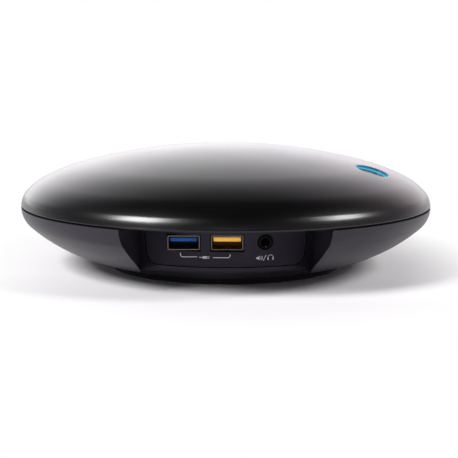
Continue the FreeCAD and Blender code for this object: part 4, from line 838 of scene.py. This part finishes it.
def usb_contacts(x, face, inward):
    """Four long and five short gold strips on the underside of a tongue."""
    strips, level = [], tongue_top - tongue_wall
    for count, pitch, width, start, finish, depth in (
            (4, 2.5 * mm, 1.0 * mm, 3.4 * mm, 9.2 * mm, 0.15 * mm),
            (5, 2.0 * mm, 0.7 * mm, 1.7 * mm, 2.9 * mm, 0.04 * mm)):
        near, far = face + inward * start, face + inward * finish
        for number in range(count):
            middle = x + (number - (count - 1) / 2) * pitch
            strips.append(block(
                "contact", (middle - width / 2, min(near, far), level - depth),
                (middle + width / 2, max(near, far), level), depth / 4, 1))
    return strips


rear_right_x, rear_left_x = 10.5 * mm, -4.0 * mm
contact_strips = []
ports = (
    ("blue_usb", blue_usb_x, front_face, 1), ("amber_usb", amber_usb_x, front_face, 1),
    ("rear_usb_right", rear_right_x, rear_face, -1), ("rear_usb_left", rear_left_x, rear_face, -1))
sleeves, tongues = {}, {}
for name, x, face, inward in ports:
    sleeves[name] = usb_sleeve(name + "_sleeve", x, face, inward)
    tongues[name] = usb_tongue(name + "_tongue", x, face, inward)
    contact_strips += usb_contacts(x, face, inward)
rear_sleeves = joined(sleeves["rear_usb_right"], sleeves["rear_usb_left"])
dress(sleeves["blue_usb"], port_steel, "port_steel", "blue_usb_shell")
dress(sleeves["amber_usb"], port_steel, "port_steel", "amber_usb_shell")
dress(rear_sleeves, port_steel, "port_steel", "rear_usb_shells")


def painted_shade_inside(name, colour, share):
    """Plastic of a tongue with painted shade: full colour at its nose, darkened to a share of it back inside
    the port.
    """
    material = moulded_plastic(name, colour, 0.45, 0.3 * mm, 0.003 * mm, 0.3)
    nodes, links = material.node_tree.nodes, material.node_tree.links
    shader = next(node for node in nodes if node.type == "BSDF_PRINCIPLED")
    tint = shader.inputs["Base Color"].links[0].from_socket
    place = nodes.new("ShaderNodeTexCoord")
    depth = nodes.new("ShaderNodeSeparateXYZ")
    near_mouth = nodes.new("ShaderNodeMapRange")
    dim = nodes.new("ShaderNodeVectorMath")
    dim.operation = "SCALE"
    near_mouth.inputs["From Min"].default_value = front_face + 2.4 * mm
    near_mouth.inputs["From Max"].default_value = front_face + 1.2 * mm
    near_mouth.inputs["To Min"].default_value = share
    links.new(place.outputs["Object"], depth.inputs[0])
    links.new(depth.outputs["Y"], near_mouth.inputs["Value"])
    links.new(tint, dim.inputs[0])
    links.new(near_mouth.outputs[0], dim.inputs["Scale"])
    links.new(dim.outputs["Vector"], shader.inputs["Base Color"])
    return material, shader, near_mouth


# Painted shade: both front tongues darken to a small share of their colour deeper inside the port
blue_insulator = painted_shade_inside("blue_insulator", (0.0014, 0.105, 0.44), 0.08)[0]
# Painted light: an emission glow at the amber tongue's nose stands in for the room's light scattered in its
# clear plastic
amber_insulator, amber_shader, near_mouth = painted_shade_inside("amber_insulator", (0.95, 0.5, 0.07), 0.1)
amber_painted_glow = amber_insulator.node_tree.nodes.new("ShaderNodeValToRGB")
fill_ramp(amber_painted_glow.color_ramp, (
    (0.0, (0.008, 0.003, 0.0)), (0.3, (0.02, 0.008, 0.0)), (1.0, (0.36, 0.19, 0.035))))
amber_shader.inputs["Emission Strength"].default_value = 1.0
amber_insulator.node_tree.links.new(near_mouth.outputs[0], amber_painted_glow.inputs[0])
amber_insulator.node_tree.links.new(amber_painted_glow.outputs["Color"], amber_shader.inputs["Emission Color"])
rear_insulator = moulded_plastic("rear_insulator", (0.02, 0.02, 0.022), 0.4, 0.3 * mm, 0.003 * mm)
dress(tongues["blue_usb"], blue_insulator, "blue_insulator", "blue_usb_insulator")
dress(tongues["amber_usb"], amber_insulator, "amber_insulator", "amber_usb_insulator")
rear_tongues = joined(tongues["rear_usb_right"], tongues["rear_usb_left"])
dress(rear_tongues, rear_insulator, "rear_insulator", "rear_usb_insulators")
dress(joined(*contact_strips), contact_gold, "contact_gold", "usb_contacts")


# Headset jack
# A moulded socket body, soldered to the board behind the plate, with a round nose that shows in the
# port hole. The polished bead of its collar and the tip of the steel spring inside catch small lights.
jack_black = moulded_plastic("jack_black", (0.0009, 0.0008, 0.0011), 0.18, 0.4 * mm, 0.002 * mm, 0.04)
paint(jack_black, "headset_jack")
jack_x, jack_z, jack_face = 15.9 * mm, 18.3 * mm, -56.2 * mm
bead_line = ((1.85, -0.1), (1.95, 0.12), (2.15, 0.2), (2.35, 0.12), (2.45, -0.1))
bead = bmesh.new()
verts = [bead.verts.new((jack_x + reach * mm, jack_face - rise * mm, jack_z)) for reach, rise in bead_line]
edges = [bead.edges.new(pair) for pair in zip(verts, verts[1:] + verts[:1])]
bmesh.ops.spin(
    bead, geom=verts + edges, cent=(jack_x, 0, jack_z), axis=(0, 1, 0), angle=2 * pi, steps=48,
    use_merge=True)
bmesh.ops.remove_doubles(bead, verts=bead.verts, dist=1e-6)
bmesh.ops.recalc_face_normals(bead, faces=bead.faces)
polished_black = moulded_plastic("polished_black", (0.001, 0.001, 0.0013), 0.12, 0.4 * mm, 0.001 * mm, 0.18)
dress(finished("jack_bead", bead, 60), polished_black, "jack_black")
spring_tip = block(
    "jack_spring", (jack_x + 0.05 * mm, jack_face + 0.05 * mm, jack_z - 1.78 * mm),
    (jack_x + 0.55 * mm, jack_face + 3 * mm, jack_z - 1.4 * mm), 0.12 * mm)
dress(spring_tip, port_steel, "port_steel")


# Rear ports
# A steel plate stands behind the rear window, with cut-outs for two USB ports, a display port, a
# network socket and the power inlet, and a grille where the warm air leaves. The sockets are soldered
# to the board's rear edge.
tray_steel = brushed_metal("tray_steel", (0.5, 0.5, 0.51), 0.36)
paint(tray_steel, "rear_port_plate")
display_x, display_width, display_height, display_depth = -19.5 * mm, 15 * mm, 6 * mm, 12 * mm
display = sleeve(
    "display_sleeve", display_x, rear_face, -1, display_width, display_height, display_depth, usb_skin,
    port_level, 0.5 * mm, chamfer=1.6 * mm)
dress(display, port_steel, "port_steel", "display_shell")
paint(rear_insulator, "display_insulator")
network_metal = brushed_metal("network_metal", (0.55, 0.54, 0.53), 0.34)
paint(network_metal, "network_socket")
network_x, network_low = 25.5 * mm, 13.3 * mm
lining_half, lining_back, lining_face = 6.4 * mm, rear_face - 14.4 * mm, rear_face - 13.9 * mm
lining = block(
    "network_lining", (network_x - lining_half, lining_back, network_low + 1.5 * mm),
    (network_x + lining_half, lining_face, network_low + 9.4 * mm))
dress(lining, jack_black, "jack_black")
wire_half, wire_pitch, wire_tip = 0.16 * mm, 1.02, rear_face - 3.2 * mm
wires = []
for number in range(8):
    middle = network_x + (number - 3.5) * wire_pitch * mm
    wires.append(block(
        "network_wires", (middle - wire_half, lining_face, network_low + 7.6 * mm),
        (middle + wire_half, wire_tip, network_low + 7.95 * mm), 0.05 * mm, 1))
dress(joined(*wires), contact_gold, "contact_gold")
inlet_pin_steel = brushed_metal("inlet_pin_steel", (0.7, 0.69, 0.66), 0.22)
paint(jack_black, "power_inlet")
paint(inlet_pin_steel, "power_inlet_pin")


# Base cover, its screws and the foot ring
# A round hatch with five cooling slots is held in the bowl's floor by four black screws. The disc
# stands on a soft rubber ring that is glued round it.
hatch_black = moulded_plastic("hatch_black", (0.0045, 0.0043, 0.005), 0.42, 0.3 * mm, 0.006 * mm)
foot_rubber = moulded_plastic("foot_rubber", (0.0035, 0.0034, 0.004), 0.75, 0.5 * mm, 0.02 * mm, 0.3)
black_screws = brushed_metal("black_screws", (0.04, 0.04, 0.045), 0.35)
paint(hatch_black, "base_cover")
paint(foot_rubber, "foot_ring")
paint(black_screws, "base_cover_screws")


# Drive tray, screws and posts
# The folded steel tray for a drive is screwed to brass posts that clamp the main board. Plated steel
# screws also hold the button's board, the cold plate and the wireless card on its brass standoff.
paint(tray_steel, "drive_tray")
steel_screws = brushed_metal("steel_screws", (0.6, 0.59, 0.57), 0.28)
paint(steel_screws, "tray_screws", "button_board_screws", "cold_plate_screws", "wifi_screw")
brass = brushed_metal("brass_posts", (0.78, 0.56, 0.26), 0.3)
paint(brass, "bay_posts", "wifi_standoff")


# Boards
# The main board on the bowl's four columns, the button's board, the processor's carrier and the
# wireless card are green glass fibre. Copper tracks show through the solder mask as lighter lines
# with tin dots between them. The black sockets are soldered on.
def circuit_board(name, mask_colour):
    """Glass-fibre board with tracks under its solder mask and tin dots."""
    material = bpy.data.materials.new(name)
    nodes, links = add_nodes(material)
    shader = nodes.new("ShaderNodeBsdfPrincipled")
    place = nodes.new("ShaderNodeTexCoord")
    tracks = nodes.new("ShaderNodeTexBrick")
    dots = nodes.new("ShaderNodeTexVoronoi")
    dot_size = nodes.new("ShaderNodeMapRange")
    mixed = nodes.new("ShaderNodeMix")
    bump = nodes.new("ShaderNodeBump")
    output = nodes.new("ShaderNodeOutputMaterial")
    lighter = tuple(min(part * 1.9 + 0.01, 1) for part in mask_colour)
    tracks.inputs["Color1"].default_value = (*mask_colour, 1)
    tracks.inputs["Color2"].default_value = (*(part * 0.8 for part in mask_colour), 1)
    tracks.inputs["Mortar"].default_value = (*lighter, 1)
    tracks.inputs["Scale"].default_value = 160
    tracks.inputs["Mortar Size"].default_value = 0.035
    tracks.inputs["Brick Width"].default_value = 0.9
    tracks.inputs["Row Height"].default_value = 0.22
    dots.inputs["Scale"].default_value = 330
    dot_size.inputs["From Min"].default_value = 0.16
    dot_size.inputs["From Max"].default_value = 0.13
    mixed.data_type = "RGBA"
    mixed.inputs["B"].default_value = (0.55, 0.53, 0.48, 1)
    bump.inputs["Distance"].default_value = 0.03 * mm
    bump.inputs["Strength"].default_value = 0.4
    shader.inputs["Roughness"].default_value = 0.32
    for pattern in (tracks, dots):
        links.new(place.outputs["Object"], pattern.inputs["Vector"])
    links.new(dots.outputs["Distance"], dot_size.inputs["Value"])
    links.new(dot_size.outputs[0], mixed.inputs["Factor"])
    links.new(tracks.outputs["Color"], mixed.inputs["A"])
    links.new(mixed.outputs["Result"], shader.inputs["Base Color"])
    links.new(tracks.outputs["Fac"], bump.inputs["Height"])
    links.new(bump.outputs[0], shader.inputs["Normal"])
    links.new(shader.outputs[0], output.inputs[0])
    return material


paint(circuit_board("board_green", (0.012, 0.06, 0.03)), "motherboard", "button_board")
chip_green = circuit_board("chip_green", (0.01, 0.075, 0.045))
paint(chip_green, "processor_package", "wifi_card")
socket_black = moulded_plastic("socket_black", (0.018, 0.018, 0.02), 0.45, 0.3 * mm, 0.006 * mm)
paint(socket_black, "button_switch", "drive_connector", "memory_socket", "wifi_socket", "cell_holder")


# Cooling
# A copper heat pipe carries the processor's heat from an aluminium plate, which four screws press on
# the die, to a small fin stack. A black plastic blower under a steel lid pushes air through it.
paint(brushed_metal("die_grey", (0.25, 0.25, 0.27), 0.2), "processor_die")
paint(brushed_metal("cold_aluminium", (0.72, 0.72, 0.73), 0.34), "cold_plate", "fin_stack")
paint(brushed_metal("pipe_copper", (0.8, 0.4, 0.24), 0.3), "heat_pipe")
paint(moulded_plastic("blower_black", (0.015, 0.015, 0.016), 0.4, 0.3 * mm, 0.006 * mm), "blower_housing",
      "fan_rotor")
paint(brushed_metal("blower_lid_steel", (0.55, 0.55, 0.55), 0.35), "blower_cover")


# Memory latches, clock cell, coils and capacitors
# Sprung steel latches sit on the arms of the memory socket. The clock cell lies in its holder beside
# grey moulded coils and tin-coloured capacitors.
paint(brushed_metal("latch_steel", (0.6, 0.59, 0.58), 0.3), "memory_latch_left", "memory_latch_right")
paint(brushed_metal("cell_steel", (0.66, 0.65, 0.63), 0.25), "clock_cell")
paint(moulded_plastic("coil_grey", (0.09, 0.09, 0.095), 0.5, 0.4 * mm, 0.01 * mm), "power_coils")
paint(brushed_metal("can_aluminium", (0.75, 0.74, 0.74), 0.3), "capacitors")
